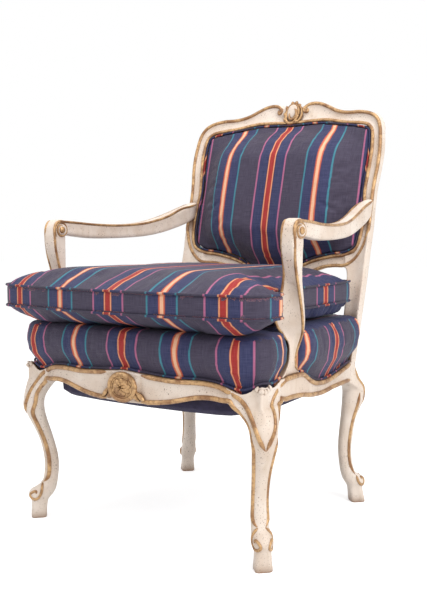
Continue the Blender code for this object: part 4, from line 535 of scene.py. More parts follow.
def rounded_copy(name):
    """A rounded mesh of a wooden CAD node."""
    bm = merged(name)
    flat_joined(bm, 20)
    bmesh.ops.recalc_face_normals(bm, faces=bm.faces)
    for vertex in bm.verts:
        vertex.co += vertex.normal * OVERLAP
    crease = bm.edges.layers.float.new("crease_edge")
    for edge in bm.edges:
        if len(edge.link_faces) == 2 and edge.calc_face_angle(0.0) > CREASE_FROM:
            edge[crease] = CREASE
    mesh = bpy.data.meshes.new(name + "_rounded")
    bm.to_mesh(mesh)
    bm.free()
    maker = bpy.data.objects.new(name + "_rounded", mesh)
    bpy.context.scene.collection.objects.link(maker)
    rounded(maker, 2)
    fit_cage(maker)
    baked_mesh(maker)
    mesh = maker.data
    bpy.data.objects.remove(maker, do_unlink=True)
    return mesh


def grown_together(name, nodes, grain, passes, filler=()):
    """Several wooden nodes rebuilt as one smooth piece. A filler is the hull of some corners."""
    whole = bmesh.new()
    for node in nodes:
        mesh = rounded_copy(node)
        whole.from_mesh(mesh)
        bpy.data.meshes.remove(mesh)
    if filler:
        corners = [bmesh.ops.create_vert(whole, co=corner)["vert"][0] for corner in filler]
        bmesh.ops.convex_hull(whole, input=corners)
    piece = add_piece(name, whole, PAINT, stands_for=nodes)
    even_faces(piece, grain)
    smoothed(piece, passes)
    print(name, len(piece.data.polygons), "faces")
    return piece


SEAT_WOODS = ["front_rail", "side_rail_left", "side_rail_right", "front_leg_left", "front_leg_right"]
BACK_WOODS = ["crest_rail", "lower_back_rail", "back_post_left", "back_post_right"]
KNEE_CREST = 0.349             # the knee's block ends in a point, which a carver takes down
KNEE_INNER_X = 0.262
KNEE_REAR_Y = -0.245
# height, front, inner and outer edge of the wood between the support's face and the roll
NECK = [(0.545, -0.1940, 0.2960, 0.3212), (0.572, -0.2030, 0.2964, 0.3224), (0.588, -0.2088, 0.2968, 0.3230),
        (0.604, -0.2130, 0.2966, 0.3236), (0.618, -0.2146, 0.2966, 0.3242), (0.634, -0.2140, 0.2966, 0.3242),
        (0.652, -0.2112, 0.2970, 0.3240)]
NECK_REAR_Y = -0.174
SEAT_GRAIN = 2.1 * MM
BACK_GRAIN = 2.3 * MM
ARM_GRAIN = 1.5 * MM
RAIL_PASSES = 4
ARM_PASSES = 9

seat_frame = grown_together("seat_frame_carved", SEAT_WOODS, SEAT_GRAIN, RAIL_PASSES)
for vertex in seat_frame.data.vertices:
    place = vertex.co
    if place.z > KNEE_CREST and abs(place.x) > KNEE_INNER_X and place.y < KNEE_REAR_Y:
        place.z = KNEE_CREST + 0.5 * (place.z - KNEE_CREST)
back_frame = grown_together("back_frame_carved", BACK_WOODS, BACK_GRAIN, RAIL_PASSES)
arm_pieces = {}
for side_name, side in SIDES:
    neck = [(side * x, y, z) for z, front, *across in NECK for y in (front, NECK_REAR_Y) for x in across]
    woods = [f"arm_{side_name}", f"arm_support_{side_name}"]
    arm_pieces[side_name] = grown_together(f"arm_{side_name}_carved", woods, ARM_GRAIN, ARM_PASSES, neck)

# %% Paint the rear rail
# seen only from behind, so it is plain, with its sharp edges taken off
rear_rail = merged("rear_rail")
flat_joined(rear_rail, 5)
sharp = [edge for edge in rear_rail.edges
         if len(edge.link_faces) == 2 and edge.calc_face_angle(0.0) > CREASE_FROM]
bmesh.ops.bevel(rear_rail, geom=sharp, offset=1.5 * MM, segments=2, profile=0.5, affect="EDGES", material=-1)
add_piece("rear_rail_painted", rear_rail, PAINT, stands_for=["rear_rail"], smooth=False)
print("the rear rail has", len(sharp), "softened edges")

# %% [markdown]
# ## The gilt beads
# A raised bead runs along both edges of every rail, down each leg, over the arms and round the back. On
# the real chair it is carved with the rail and then gilded. Here each run is a round moulding swept along
# a line a little under the skin, so that a third of its width stands proud. Planes cut the solids at many
# places, and each cut's outermost point on the wanted side guides the line, so the bead lies where the
# solid's own edge is. The line is then laid on the carved piece, which has no seams for it to fall into.

# %% Sweep a bead along a line
BEAD = 4.9 * MM                # a radius, as all the mouldings' sizes are
SUNK = -1.6 * MM
THIN_END = 0.30                # the share of its radius that a moulding keeps at its ends


def swept(name, lines, radius, taper=6, sides=3):
    """One gilt piece of round mouldings, each swept along its own line and thinned towards its ends."""
    curve = bpy.data.curves.new(name, "CURVE")
    curve.dimensions = "3D"
    curve.bevel_depth = radius
    curve.bevel_resolution = sides
    curve.use_fill_caps = True
    for line in lines:
        spline = curve.splines.new("POLY")
        spline.points.add(len(line) - 1)
        last = len(line) - 1
        for k, (point, place) in enumerate(zip(spline.points, line)):
            point.co = (*place, 1.0)
            if taper:
                point.radius = min(1.0, THIN_END + (1 - THIN_END) * min(k, last - k) / taper)
    maker = bpy.data.objects.new(name + "_line", curve)
    bpy.context.scene.collection.objects.link(maker)
    graph = bpy.context.evaluated_depsgraph_get()
    graph.update()
    mesh = bpy.data.meshes.new_from_object(maker.evaluated_get(graph))
    bm = bmesh.new()
    bm.from_mesh(mesh)
    bpy.data.objects.remove(maker, do_unlink=True)
    bpy.data.meshes.remove(mesh)
    bmesh.ops.remove_doubles(bm, verts=bm.verts, dist=0.01 * MM)
    bmesh.ops.recalc_face_normals(bm, faces=bm.faces)
    add_piece(name, bm, GILT)


def eased(line, passes):
    """Take the corners off a line, and keep its two ends."""
    for _ in range(passes):
        inner = [(a + b * 2 + c) / 4 for a, b, c in zip(line, line[1:], line[2:])]
        line = [line[0]] + inner + [line[-1]]
    return line


SKIN_WITHIN = 0.02             # a point further from the skin than this stays where it is


def laid_on(surface, guides, step=3 * MM, lift=SUNK, passes=10):
    """A smooth line through guide points, laid on a surface, eased, and laid on it once more."""
    line = eased(smooth_line(guides, step), 6)
    for last_passes in (passes, 3):
        placed = []
        for point in line:
            place, normal, _, gap = surface.find_nearest(point)
            placed.append(place + normal * lift if gap < SKIN_WITHIN else point)
        line = eased(placed, last_passes)
    return line


# %% Find the beads of the seat rails
FRONT = Vector((0, -1, 0))
ALONG_X = Vector((1, 0, 0))
ALONG_Y = Vector((0, 1, 0))
ALONG_Z = Vector((0, 0, 1))
MEDALLION_HALF = 0.043         # the front rail's beads stop here, beside the medallion
RAIL_GUIDES = 14
RAIL_END = 0.010               # how far from a rail's front or outer end its guides stop
RAIL_REAR_END = 0.022


def rail_edge(name, place, normal, outward, upper):
    """The crest of the bead along a rail's upper or lower edge, in one cut across the rail."""
    points = section(name, place, normal)
    middle = (min(p.z for p in points) + max(p.z for p in points)) / 2
    half = [p for p in points if (p.z > middle) == upper]
    return max(half, key=lambda p: p.dot(outward))


def front_guides(side, upper):
    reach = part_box("front_rail")[1].x - RAIL_END
    return [rail_edge("front_rail", (side * x, 0, 0), ALONG_X, FRONT, upper)
            for x in np.linspace(MEDALLION_HALF, reach, RAIL_GUIDES)]


def side_guides(side_name, side, upper):
    rail = f"side_rail_{side_name}"
    low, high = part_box(rail)
    return [rail_edge(rail, (0, y, 0), ALONG_Y, ALONG_X * side, upper)
            for y in np.linspace(high.y - RAIL_REAR_END, low.y + RAIL_END, RAIL_GUIDES)]


# %% [markdown]
# ## The legs
# The rails' lower beads turn down the legs, one on each flank, and curl round the toe. The upper beads
# cross the knee and meet in a point, which leaves a cream shield. Rays cast at a leg from outside find its
# skin. The rear legs have a line down each flank, one down the knee, and the same curls.

# %% Find the beads of the legs
FLANK_TURN = math.radians(70)
# along the leg's diagonal from the foot's middle, and height: the line that curls round the toe
TOE_CURL = [(-0.0085, 0.080), (-0.0070, 0.066), (-0.0030, 0.052), (0.0050, 0.0425), (0.0145, 0.0435),
            (0.0205, 0.0520), (0.0190, 0.0625), (0.0115, 0.0675), (0.0050, 0.0625), (0.0065, 0.0555)]
# seen from the front (x) and from the side (-y), with the height: from the rail's end to the shield's point
SHIELD_FRONT = [(0.247, 0.337), (0.262, 0.327), (0.276, 0.311), (0.289, 0.291), (0.299, 0.270),
                (0.306, 0.253)]
SHIELD_SIDE = [(0.232, 0.340), (0.245, 0.330), (0.259, 0.313), (0.272, 0.291), (0.282, 0.270),
               (0.289, 0.253)]
SHIELD_POINT = 0.234
# the arch under the rail's end: its middle seen from the front and from the side
ARCH_FRONT = (0.205, 0.262)
ARCH_SIDE = (0.178, 0.262)
FOOT_CUT = 0.004
OUTSIDE_LEG = 0.12             # how far from a leg's axis the rays start
OUTSIDE_TOE = 0.06
OUTSIDE_CHAIR = 0.5
IN_FRONT_OF_CHAIR = -0.6


def leg_axis(name, height):
    """The middle of a leg's section at one height."""
    points = section(name, (0, 0, height), ALONG_Z)
    low = Vector((min(p.x for p in points), min(p.y for p in points), height))
    high = Vector((max(p.x for p in points), max(p.y for p in points), height))
    return (low + high) / 2


def skin_point(surface, axis, turn, height):
    """Where a ray towards the leg's axis first meets the leg, at one height."""
    outward = Vector((math.cos(turn), math.sin(turn), 0))
    start = Vector((axis.x, axis.y, height)) + outward * OUTSIDE_LEG
    return surface.ray_cast(start, -outward)[0]


def flank_line(surface, name, outward, towards, heights):
    return [skin_point(surface, leg_axis(name, height), outward + towards * FLANK_TURN, height)
            for height in heights]


def toe_line(surface, name, outward, towards):
    """The line that curls round one flank of the toe."""
    foot = leg_axis(name, FOOT_CUT)
    along = Vector((math.cos(outward), math.sin(outward), 0))
    across = Vector((-along.y, along.x, 0)) * towards
    line = []
    for s, z in TOE_CURL:
        start = foot + along * s + across * OUTSIDE_TOE
        start.z = z
        hit = surface.ray_cast(start, -across)[0]
        if hit:
            line.append(hit)
    return line


def shield_line(surface, side, faces_front):
    """From the rail's upper edge over the knee to the shield's point."""
    line = []
    for flat, z in SHIELD_FRONT if faces_front else SHIELD_SIDE:
        if faces_front:
            hit = surface.ray_cast(Vector((side * flat, -OUTSIDE_CHAIR, z)), ALONG_Y)[0]
        else:
            hit = surface.ray_cast(Vector((side * OUTSIDE_CHAIR, -flat, z)), ALONG_X * -side)[0]
        if hit:
            line.append(hit)
    name = "front_leg_right" if side > 0 else "front_leg_left"
    line.append(skin_point(surface, leg_axis(name, SHIELD_POINT), math.atan2(-1, side), SHIELD_POINT))
    return line


FACE_DEPTH = 0.022             # how far behind the foremost wood a point still counts as the face
EDGE_WIDTH = 0.007


def arch_line(names, side, faces_front):
    """The edge under the knee, found by planes that turn about the middle of the arch."""
    line = []
    for degrees in (75, 60, 45, 30, 15, 0):
        turn = math.radians(degrees)
        if faces_front:
            middle = Vector((side * ARCH_FRONT[0], 0, ARCH_FRONT[1]))
            ahead = ALONG_X * side
            face = FRONT
        else:
            middle = Vector((0, -ARCH_SIDE[0], ARCH_SIDE[1]))
            ahead = FRONT
            face = ALONG_X * side
        direction = ahead * math.cos(turn) + ALONG_Z * math.sin(turn)
        points = [p for name in names for p in section(name, middle, direction.cross(face))]
        reached = [((p - middle).dot(direction), p) for p in points if (p - middle).dot(direction) > 0.01]
        front_most = max(p.dot(face) for _, p in reached)
        reached = [(r, p) for r, p in reached if p.dot(face) > front_most - FACE_DEPTH]
        near = min(r for r, _ in reached)
        line.append(max((p for r, p in reached if r < near + EDGE_WIDTH), key=lambda p: p.dot(face)))
    return line


# %% Sweep the beads of the seat rails and the legs
FRONT_FLANK = np.linspace(0.245, 0.090, 10)
REAR_FLANK = np.linspace(0.268, 0.088, 12)
REAR_KNEE = (0.330, 0.305, 0.28, 0.255, 0.23)
REAR_KNEE_LEAN = 0.45          # how far the rear knee's line turns from the side towards the back
REAR_BEAD = 4.2 * MM
TOE_BEAD = 3.2 * MM
TOE_SUNK = -0.4 * MM

seat_lines = []
rear_lines = []
curl_lines = []
for side_name, side in SIDES:
    leg = f"front_leg_{side_name}"
    woods = [leg, "front_rail", f"side_rail_{side_name}"]
    surface = surface_of_piece(seat_frame)
    outward = math.atan2(-1, side)
    for towards in (-1, 1):
        faces_front = towards * side < 0
        flank = flank_line(surface, leg, outward, towards, FRONT_FLANK)
        curl = toe_line(surface, leg, outward, towards)
        arch = arch_line(woods, side, faces_front)
        lower = front_guides(side, False) if faces_front else side_guides(side_name, side, False)
        upper = front_guides(side, True) if faces_front else side_guides(side_name, side, True)
        seat_lines.append(laid_on(surface, lower + arch[1:] + flank + curl[:1]))
        seat_lines.append(laid_on(surface, upper + shield_line(surface, side, faces_front)))
        curl_lines.append(laid_on(surface, curl, step=2 * MM, lift=TOE_SUNK, passes=2))
swept("seat_rail_and_front_leg_beads", seat_lines, BEAD)

for side_name, side in SIDES:
    leg = f"back_post_{side_name}"
    surface = surface_of_piece(back_frame)
    outward = math.atan2(1, side)
    knee = [skin_point(surface, leg_axis(leg, z), math.atan2(REAR_KNEE_LEAN, side), z) for z in REAR_KNEE]
    rear_lines.append(laid_on(surface, [p for p in knee if p]))
    for towards in (-1, 1):
        curl = toe_line(surface, leg, outward, towards)
        flank = flank_line(surface, leg, outward, towards, REAR_FLANK)
        rear_lines.append(laid_on(surface, flank + curl[:1]))
        curl_lines.append(laid_on(surface, curl, step=2 * MM, lift=TOE_SUNK, passes=2))
swept("rear_leg_beads", rear_lines, REAR_BEAD)
swept("toe_curls", curl_lines, TOE_BEAD, taper=3)

# %% [markdown]
# ## The back frame
# The back is one ring of wood round the pad. Planes that turn about the ring's middle cut it into
# slices, and the bead's crest is the foremost point near each slice's inner or outer edge. The outer bead
# leaves the post at its lower corner and runs on along the lower rail's under edge. Beside the cartouche
# it ends in a small curl.

# %% Find the beads of the back
BACK_MIDDLE = Vector((0, 0.27, 0.735))
BACK_SLOPE = 0.25
CREST_FACING = Vector((0, -1, BACK_SLOPE)).normalized()
# across and height, where the outer bead crosses the post's lower corner
LOWER_CORNER = [(0.206, 0.561), (0.224, 0.571), (0.240, 0.588), (0.252, 0.611), (0.2585, 0.638)]
LOWER_RAIL_REACH = 0.188
CURL_X = 0.0395
CURL_Z = 0.950
CURL_START = 0.0105            # the curl's radius where it starts, and by how much it shrinks
CURL_SHRINK = 0.0062
CURL_TURN = 340
CREST_GAP = 11                 # degrees from upright at which the outer bead stops for the cartouche
OUTER_FROM = -20
OUTER_TO = 200
WOOD_WIDTH = 0.012
WOOD_DEPTH = 0.016
EDGE_NEAR = 0.0075
BACK_BEAD = 4.3 * MM


def depth_in_back(point):
    return point.y - BACK_SLOPE * (point.z - BACK_MIDDLE.z)


def back_slice(turn):
    """Where the ring of the back is cut in one direction from its middle."""
    direction = Vector((math.cos(turn), 0, math.sin(turn)))
    normal = Vector((-math.sin(turn), 0, math.cos(turn)))
    found = []
    for name in BACK_WOODS:
        for point in section(name, BACK_MIDDLE, normal):
            reach = (point - BACK_MIDDLE).dot(direction)
            above_seat = point.z > 0.49
            if 0.12 < reach < 0.40 and above_seat:
                found.append((reach, point))
    return found


def foremost(surface, x, z):
    """The foremost place of a surface at x and z."""
    return surface.ray_cast(Vector((x, IN_FRONT_OF_CHAIR, z)), ALONG_Y)[0]


def crest_curl(side):
    """The small spiral that ends the crest's outer bead beside the cartouche."""
    line = []
    for k in range(26):
        share = k / 25
        turn = math.radians(90 - CURL_TURN * share)
        reach = CURL_START - CURL_SHRINK * share
        x = side * (CURL_X - reach * math.cos(turn) * 0.9)
        place = foremost(back_surface, x, CURL_Z + reach * math.sin(turn))
        if place:
            line.append(place)
    return line


back_surface = surface_of_piece(back_frame)
inner_ring = []
outer_halves = {-1: [], 1: []}
for degrees in range(-90, 270, 4):
    found = back_slice(math.radians(degrees))
    near = min(reach for reach, _ in found)
    front_depth = min(depth_in_back(p) for reach, p in found if reach < near + WOOD_WIDTH)
    inner_ring.append(min((p for reach, p in found if reach < near + EDGE_NEAR), key=depth_in_back))
    if OUTER_FROM < degrees < OUTER_TO and abs(degrees - 90) > CREST_GAP:
        far = max(reach for reach, p in found if depth_in_back(p) < front_depth + WOOD_DEPTH)
        best = min((p for reach, p in found if far - EDGE_NEAR < reach <= far), key=depth_in_back)
        outer_halves[1 if degrees < 90 else -1].append(best)
inner_ring.append(inner_ring[0])
outer_halves[-1].reverse()
back_lines = [laid_on(back_surface, inner_ring)]
for side in (-1, 1):
    lower = [rail_edge("lower_back_rail", (side * x, 0, 0), ALONG_X, FRONT, False)
             for x in np.linspace(0.0, LOWER_RAIL_REACH, 12)]
    corner = [foremost(back_surface, side * x, z) for x, z in LOWER_CORNER]
    line = lower + [p for p in corner if p] + outer_halves[side] + crest_curl(side)[::5]
    back_lines.append(laid_on(back_surface, line, passes=6))
    back_lines.append(laid_on(back_surface, crest_curl(side), step=2 * MM, lift=-0.6 * MM, passes=2))
swept("back_frame_beads", back_lines, BACK_BEAD)
print("the outer beads end at", [round(c, 3) for c in outer_halves[1][-1]])

# %% [markdown]
# ## Lines of the arms
# Each arm ends in a volute: its front rolls under, and a gilt line winds round a raised eye on both
# cheeks. Two lines rise along the twisted support, turn over the roll and run back along the arm's top.

# %% Sweep the lines of the arms
ROLL = Vector((0, -0.1885, 0.6455))
ROLL_RADIUS = 0.0225
# height, then the face's inner and outer edge as (x, y) pairs, up the twisted support
SUPPORT_EDGES = [
    (0.366, 0.2960, -0.196, 0.2915, -0.135), (0.378, 0.2950, -0.182, 0.2940, -0.151),
    (0.392, 0.2940, -0.175, 0.2950, -0.153), (0.411, 0.2930, -0.172, 0.2990, -0.152),
    (0.430, 0.2890, -0.174, 0.3050, -0.150), (0.446, 0.2810, -0.184, 0.3110, -0.152),
    (0.467, 0.2760, -0.200, 0.3160, -0.161), (0.490, 0.2790, -0.202, 0.3190, -0.171),
    (0.515, 0.2860, -0.198, 0.3210, -0.181), (0.554, 0.2930, -0.1965, 0.3225, -0.196),
    (0.588, 0.2980, -0.204, 0.3226, -0.206), (0.606, 0.2980, -0.2085, 0.3226, -0.2085),
]
INNER_EDGE_FROM = 4            # the inner line ends in a point above the cushion's seat
ARM_FROM_Y = -0.178
ARM_END = 0.016
ARM_LEAN = (0.66, 0.75)        # sideways and up: towards the edge between the arm's top and its cheek
OVER_ROLL = (190, 165, 140, 118)
VOLUTE_X = 0.310
CHEEK_OUTSIDE = 0.05
VOLUTE_FROM = 225
VOLUTE_TURN = 500
VOLUTE_RADIUS = 0.0205
VOLUTE_SHRINK = 0.0098
ARM_BEAD = 2.9 * MM
VOLUTE_BEAD = 2.4 * MM


def roll_point(x, degrees, radius=ROLL_RADIUS):
    turn = math.radians(degrees)
    return Vector((x, ROLL.y + radius * math.cos(turn), ROLL.z + radius * math.sin(turn)))


arm_lines = []
volute_lines = []
for side_name, side in SIDES:
    arm = f"arm_{side_name}"
    surface = surface_of_piece(arm_pieces[side_name])
    last_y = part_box(arm)[1].y - ARM_END
    for lean, column, first in ((-1, 0, INNER_EDGE_FROM), (1, 2, 0)):
        rising = [Vector((side * row[1 + column], row[2 + column], row[0])) for row in SUPPORT_EDGES[first:]]
        guides = []
        direction = Vector((lean * side * ARM_LEAN[0], 0, ARM_LEAN[1]))
        for y in np.linspace(ARM_FROM_Y, last_y, 18):
            guides.append(max(section(arm, (0, y, 0), ALONG_Y), key=lambda p: p.dot(direction)))
        over = [roll_point(guides[0].x, degrees) for degrees in OVER_ROLL]
        arm_lines.append(laid_on(surface, rising + over + guides, lift=0.3 * MM, passes=6))
    for cheek in (-1, 1):
        line = []
        for k in range(46):
            share = k / 45
            flat = roll_point(side * VOLUTE_X + cheek * CHEEK_OUTSIDE, VOLUTE_FROM - VOLUTE_TURN * share,
                              VOLUTE_RADIUS - VOLUTE_SHRINK * share**0.8)
            place = surface.ray_cast(flat, ALONG_X * -cheek)[0]
            if place:
                line.append(place)
        volute_lines.append(eased(line, 2))
swept("arm_lines", arm_lines, ARM_BEAD)
swept("volute_lines", volute_lines, VOLUTE_BEAD)

# %% [markdown]
# ## The carved ornaments
# Ornament is carved from plain parts: a rolled rim, leaves that swell and taper, and small buds. A leaf
# here is a sphere pulled long and flattened, with a raised rib, and a flower is a ring of such leaves.


# %% Helpers for carving
def leaf(bm, root, tip, normal, width, height):
    """Add one leaf from its root to its tip: a flattened drop that lies on a surface."""
    length = (tip - root).length
    along = (tip - root).normalized()
    across = normal.cross(along).normalized()
    up = along.cross(across).normalized()
    turn = Matrix((along, across, up)).transposed().to_4x4()
    made = bmesh.ops.create_uvsphere(bm, u_segments=16, v_segments=10, radius=1.0)
    for vertex in made["verts"]:
        x, y, z = vertex.co
        swell = 0.62 + 0.38 * math.cos(math.pi * (x - 0.15) / 1.7)
        rib = 1.0 + 0.30 * math.exp(-(y / 0.22)**2)
        vertex.co = Vector((x * length / 2, y * width / 2 * swell, z * height * swell * rib))
    bmesh.ops.transform(bm, matrix=Matrix.Translation((root + tip) / 2) @ turn, verts=made["verts"])


def ball(bm, centre, turn, sizes, around, up):
    """Add a sphere pulled to three half sizes, turned and put in its place."""
    made = bmesh.ops.create_uvsphere(bm, u_segments=around, v_segments=up, radius=1.0)
    bmesh.ops.transform(bm, matrix=Matrix.Translation(centre) @ turn @ Matrix.Diagonal((*sizes, 1)),
                        verts=made["verts"])


def button(bm, centre, normal, radius, height):
    """Add a round button that stands on a surface."""
    turn = normal.to_track_quat("Z", "Y").to_matrix().to_4x4()
    ball(bm, centre, turn, (radius, radius, height), 20, 12)


# %% Carve the medallion on the front rail
MEDALLION_Z = 0.3325
MEDALLION_WIDE = 0.0325
MEDALLION_TALL = 0.0265
MEDALLION_DEPTH = 0.0040
RIM_STEPS = 48
RIM_BEAD = 5.0 * MM
INNER_RIM_BEAD = 1.7 * MM
# for each ring of petals: reach, width, height and number
PETALS = [(0.0235, 0.0125, 0.0032, 9), (0.0165, 0.0100, 0.0048, 7), (0.0095, 0.0070, 0.0060, 5)]
rail_surface = surface_of("front_rail")
rim = []
for k in range(RIM_STEPS + 1):
    turn = 2 * math.pi * k / RIM_STEPS
    height = MEDALLION_Z + MEDALLION_TALL * math.sin(turn)
    place = foremost(rail_surface, MEDALLION_WIDE * math.cos(turn), height)
    rim.append(place if place else rim[-1])
middle = foremost(rail_surface, 0.0, MEDALLION_Z)
level = min(p.y for p in rim)
rim = [Vector((p.x, level + 0.0015, p.z)) for p in rim]
swept("medallion_rim", [rim], RIM_BEAD, taper=0, sides=4)
inner_rim = [Vector((p.x * 0.80, p.y - 0.0010, MEDALLION_Z + (p.z - MEDALLION_Z) * 0.78)) for p in rim]
swept("medallion_inner_rim", [inner_rim], INNER_RIM_BEAD, taper=0)
flower = bmesh.new()
heart = Vector((0, min(middle.y, level) - 0.0005, MEDALLION_Z))
for ring, (reach, wide, tall, count) in enumerate(PETALS):
    for k in range(count):
        turn = 2 * math.pi * (k + 0.5 * ring) / count + math.pi / 2
        way = Vector((math.cos(turn), 0, math.sin(turn) * MEDALLION_TALL / MEDALLION_WIDE))
        leaf(flower, heart + way * 0.001, heart + way * reach, FRONT, wide, tall)
behind = heart + Vector((0, 0.0035, 0))
ball(flower, behind, Matrix.Identity(4), (MEDALLION_WIDE, MEDALLION_DEPTH, MEDALLION_TALL), 32, 12)
add_piece("medallion_flower", flower, GILT)

# %% Carve the sprays below the medallion
# where each leaf starts and ends along the rail, and its width
SPRAY_LEAVES = [(0.016, 0.042, 0.012), (0.032, 0.056, 0.010), (0.048, 0.070, 0.008)]
spray = bmesh.new()
for side in (-1, 1):
    for start, end, wide in SPRAY_LEAVES:
        points = [rail_edge("front_rail", (side * x, 0, 0), ALONG_X, FRONT, False) for x in (start, end)]
        leaf(spray, points[0] + Vector((0, 0.001, 0.001)), points[1] + Vector((0, -0.001, 0.001)), FRONT,
             wide, 0.0046)
add_piece("medallion_sprays", spray, GILT)

# %% Carve the cartouche on the crest
CARTOUCHE_Z = 0.9405
CARTOUCHE_WIDE = 0.0175
CARTOUCHE_TALL = 0.0245
CARTOUCHE_DEPTH = 0.0055
CARTOUCHE_LEAN = math.radians(-12)
OVAL_BEAD = 4.0 * MM
SCROLL_BEAD = 3.0 * MM


def on_cartouche(x, z, lift):
    """A place on the cartouche's leaning plane, with x and z measured from its middle."""
    turned_x = x * math.cos(CARTOUCHE_LEAN) - z * math.sin(CARTOUCHE_LEAN)
    turned_z = x * math.sin(CARTOUCHE_LEAN) + z * math.cos(CARTOUCHE_LEAN)
    height = CARTOUCHE_Z + turned_z
    depth = cartouche_level + BACK_SLOPE * (height - BACK_MIDDLE.z)
    return Vector((turned_x, depth, height)) + CREST_FACING * lift


around = [foremost(back_surface, 0.016 * math.cos(t), CARTOUCHE_Z - 0.002 + 0.018 * math.sin(t))
          for t in np.linspace(0, 2 * math.pi, 16)]
cartouche_level = sum(depth_in_back(p) for p in around if p) / sum(1 for p in around if p)
oval = [on_cartouche(CARTOUCHE_WIDE * math.cos(t), CARTOUCHE_TALL * math.sin(t), 0.0020)
        for t in np.linspace(0, 2 * math.pi, 45)]
inner_scroll = []
outer_scroll = []
for share in np.linspace(0, 1, 30):
    turn = math.radians(120 - 300 * share)
    reach = 0.0080 + 0.0035 * math.sin(math.pi * share)
    inner_scroll.append(on_cartouche(0.002 + reach * math.cos(turn), 1.35 * reach * math.sin(turn), 0.0050))
    turn = math.radians(105 - 200 * share)
    reach = 0.0205 + 0.0030 * math.sin(math.pi * share)
    outer_scroll.append(on_cartouche(0.004 + reach * math.cos(turn), 0.001 + 1.10 * reach * math.sin(turn),
                                     0.0012))
swept("cartouche_ring", [oval], OVAL_BEAD, taper=0, sides=4)
swept("cartouche_scrolls", [inner_scroll, outer_scroll], SCROLL_BEAD, taper=7)
foliage = bmesh.new()
# root and tip as across and height from the cartouche's middle, with the leaf's width
LEAVES = [(-0.004, 0.020, -0.011, 0.031, 0.011), (0.002, 0.021, 0.003, 0.0345, 0.011),
          (0.008, 0.019, 0.017, 0.028, 0.011), (-0.016, 0.004, -0.0235, 0.018, 0.009),
          (-0.015, -0.010, -0.024, -0.001, 0.009), (0.012, -0.018, 0.024, -0.016, 0.010),
          (-0.010, -0.020, -0.021, -0.014, 0.009)]
for x0, z0, x1, z1, wide in LEAVES:
    leaf(foliage, on_cartouche(x0, z0, 0.001), on_cartouche(x1, z1, 0.002), CREST_FACING, wide, 0.0044)
add_piece("cartouche_leaves", foliage, GILT)
field = bmesh.new()
ball(field, on_cartouche(0, 0, 0.0), Matrix.Rotation(-CARTOUCHE_LEAN, 4, "Y"),
     (CARTOUCHE_WIDE, CARTOUCHE_DEPTH, CARTOUCHE_TALL), 24, 14)
add_piece("cartouche_field", field, PAINT)

# %% Carve the knee shells and the volutes' eyes
KNEE_TOP = 0.3525
# across the knee, how far below its top a leaf's tip lies, and its width
KNEE_LEAVES = [(0.0, 0.0130, 0.0125), (0.0075, 0.0112, 0.0120), (-0.0075, 0.0112, 0.0120),
               (0.0145, 0.0080, 0.0110), (-0.0145, 0.0080, 0.0110)]
EYE_RADIUS = 0.0080
EYE_HEIGHT = 0.0050
EYE_SUNK = 0.0015
buds = bmesh.new()
eyes = bmesh.new()
for side_name, side in SIDES:
    knee = surface_of_piece(seat_frame)
    outward = Vector((side, -1, 0)).normalized()
    along = Vector((-outward.y, outward.x, 0))
    axis = leg_axis(f"front_leg_{side_name}", 0.285)
    for across, drop, wide in KNEE_LEAVES:
        start = Vector((axis.x, axis.y, KNEE_TOP - drop)) + along * across + outward * OUTSIDE_LEG
        tip = knee.ray_cast(start, -outward)[0]
        if tip:
            root = tip + Vector((0, 0, 0.0125)) - along * across * 0.15
            leaf(buds, root, tip, outward, wide, 0.0044)
    volute = surface_of_piece(arm_pieces[side_name])
    for cheek in (-1, 1):
        start = Vector((side * VOLUTE_X + cheek * CHEEK_OUTSIDE, ROLL.y, ROLL.z))
        place = volute.ray_cast(start, ALONG_X * -cheek)[0]
        if place:
            button(eyes, place - Vector((cheek * EYE_SUNK, 0, 0)), ALONG_X * cheek, EYE_RADIUS, EYE_HEIGHT)
add_piece("knee_shells", buds, PAINT)
add_piece("volute_eyes", eyes, GILT)

# %% [markdown]
# ## Tidy shells of cloth
# A cover is a thin shell of cloth in the CAD model. The outer sheet alone is wanted here. A walk from
# its furthest face to each neighbour, stopping at the thin strip along the cloth's edge, leaves the inner
# sheet behind.

# %% Peel the outer sheet from a cover
def outer_sheet(name, seed, strip=2.4 * MM):
    """The outer sheet of a CAD cover, as a bmesh."""
    bm = merged(name)
    thin = set()
    for face in bm.faces:
        if min(edge.calc_length() for edge in face.edges) < strip:
            thin.add(face)
    seed = Vector(seed)
    start = max((f for f in bm.faces if f not in thin), key=lambda f: f.calc_center_median().dot(seed))
    kept = {start}
    edge_of_walk = [start]
    while edge_of_walk:
        face = edge_of_walk.pop()
        for edge in face.edges:
            for other in edge.link_faces:
                if other not in kept and other not in thin:
                    kept.add(other)
                    edge_of_walk.append(other)
    share = sum(f.calc_area() for f in kept) / sum(f.calc_area() for f in bm.faces)
    bmesh.ops.delete(bm, geom=[f for f in bm.faces if f not in kept], context="FACES")
    print(name, "outer sheet holds", round(share, 2), "of the shell's area in", len(bm.faces), "faces")
    return bm


def closed_up(bm, deepen=None):
    """Close every open edge of a sheet, so that it can hold air. A thin sheet is first made deeper."""
    rim = [edge for edge in bm.edges if len(edge.link_faces) == 1]
    if deepen:
        made = bmesh.ops.extrude_edge_only(bm, edges=rim)["geom"]
        bmesh.ops.translate(bm, vec=deepen, verts=[v for v in made if isinstance(v, bmesh.types.BMVert)])
        rim = [edge for edge in bm.edges if len(edge.link_faces) == 1]
    if rim:
        bmesh.ops.holes_fill(bm, edges=rim, sides=0)
    bmesh.ops.recalc_face_normals(bm, faces=bm.faces)
    return bm


# %% [markdown]
# ## Stuffing the covers
# Padded cloth gets its form from what presses against it. Each cover is closed, rebuilt from small equal
# faces, and blown up a little by Blender's cloth solver while its seams are held. The movement is capped,
# so that the cover stays in the room that the CAD solid gives it.

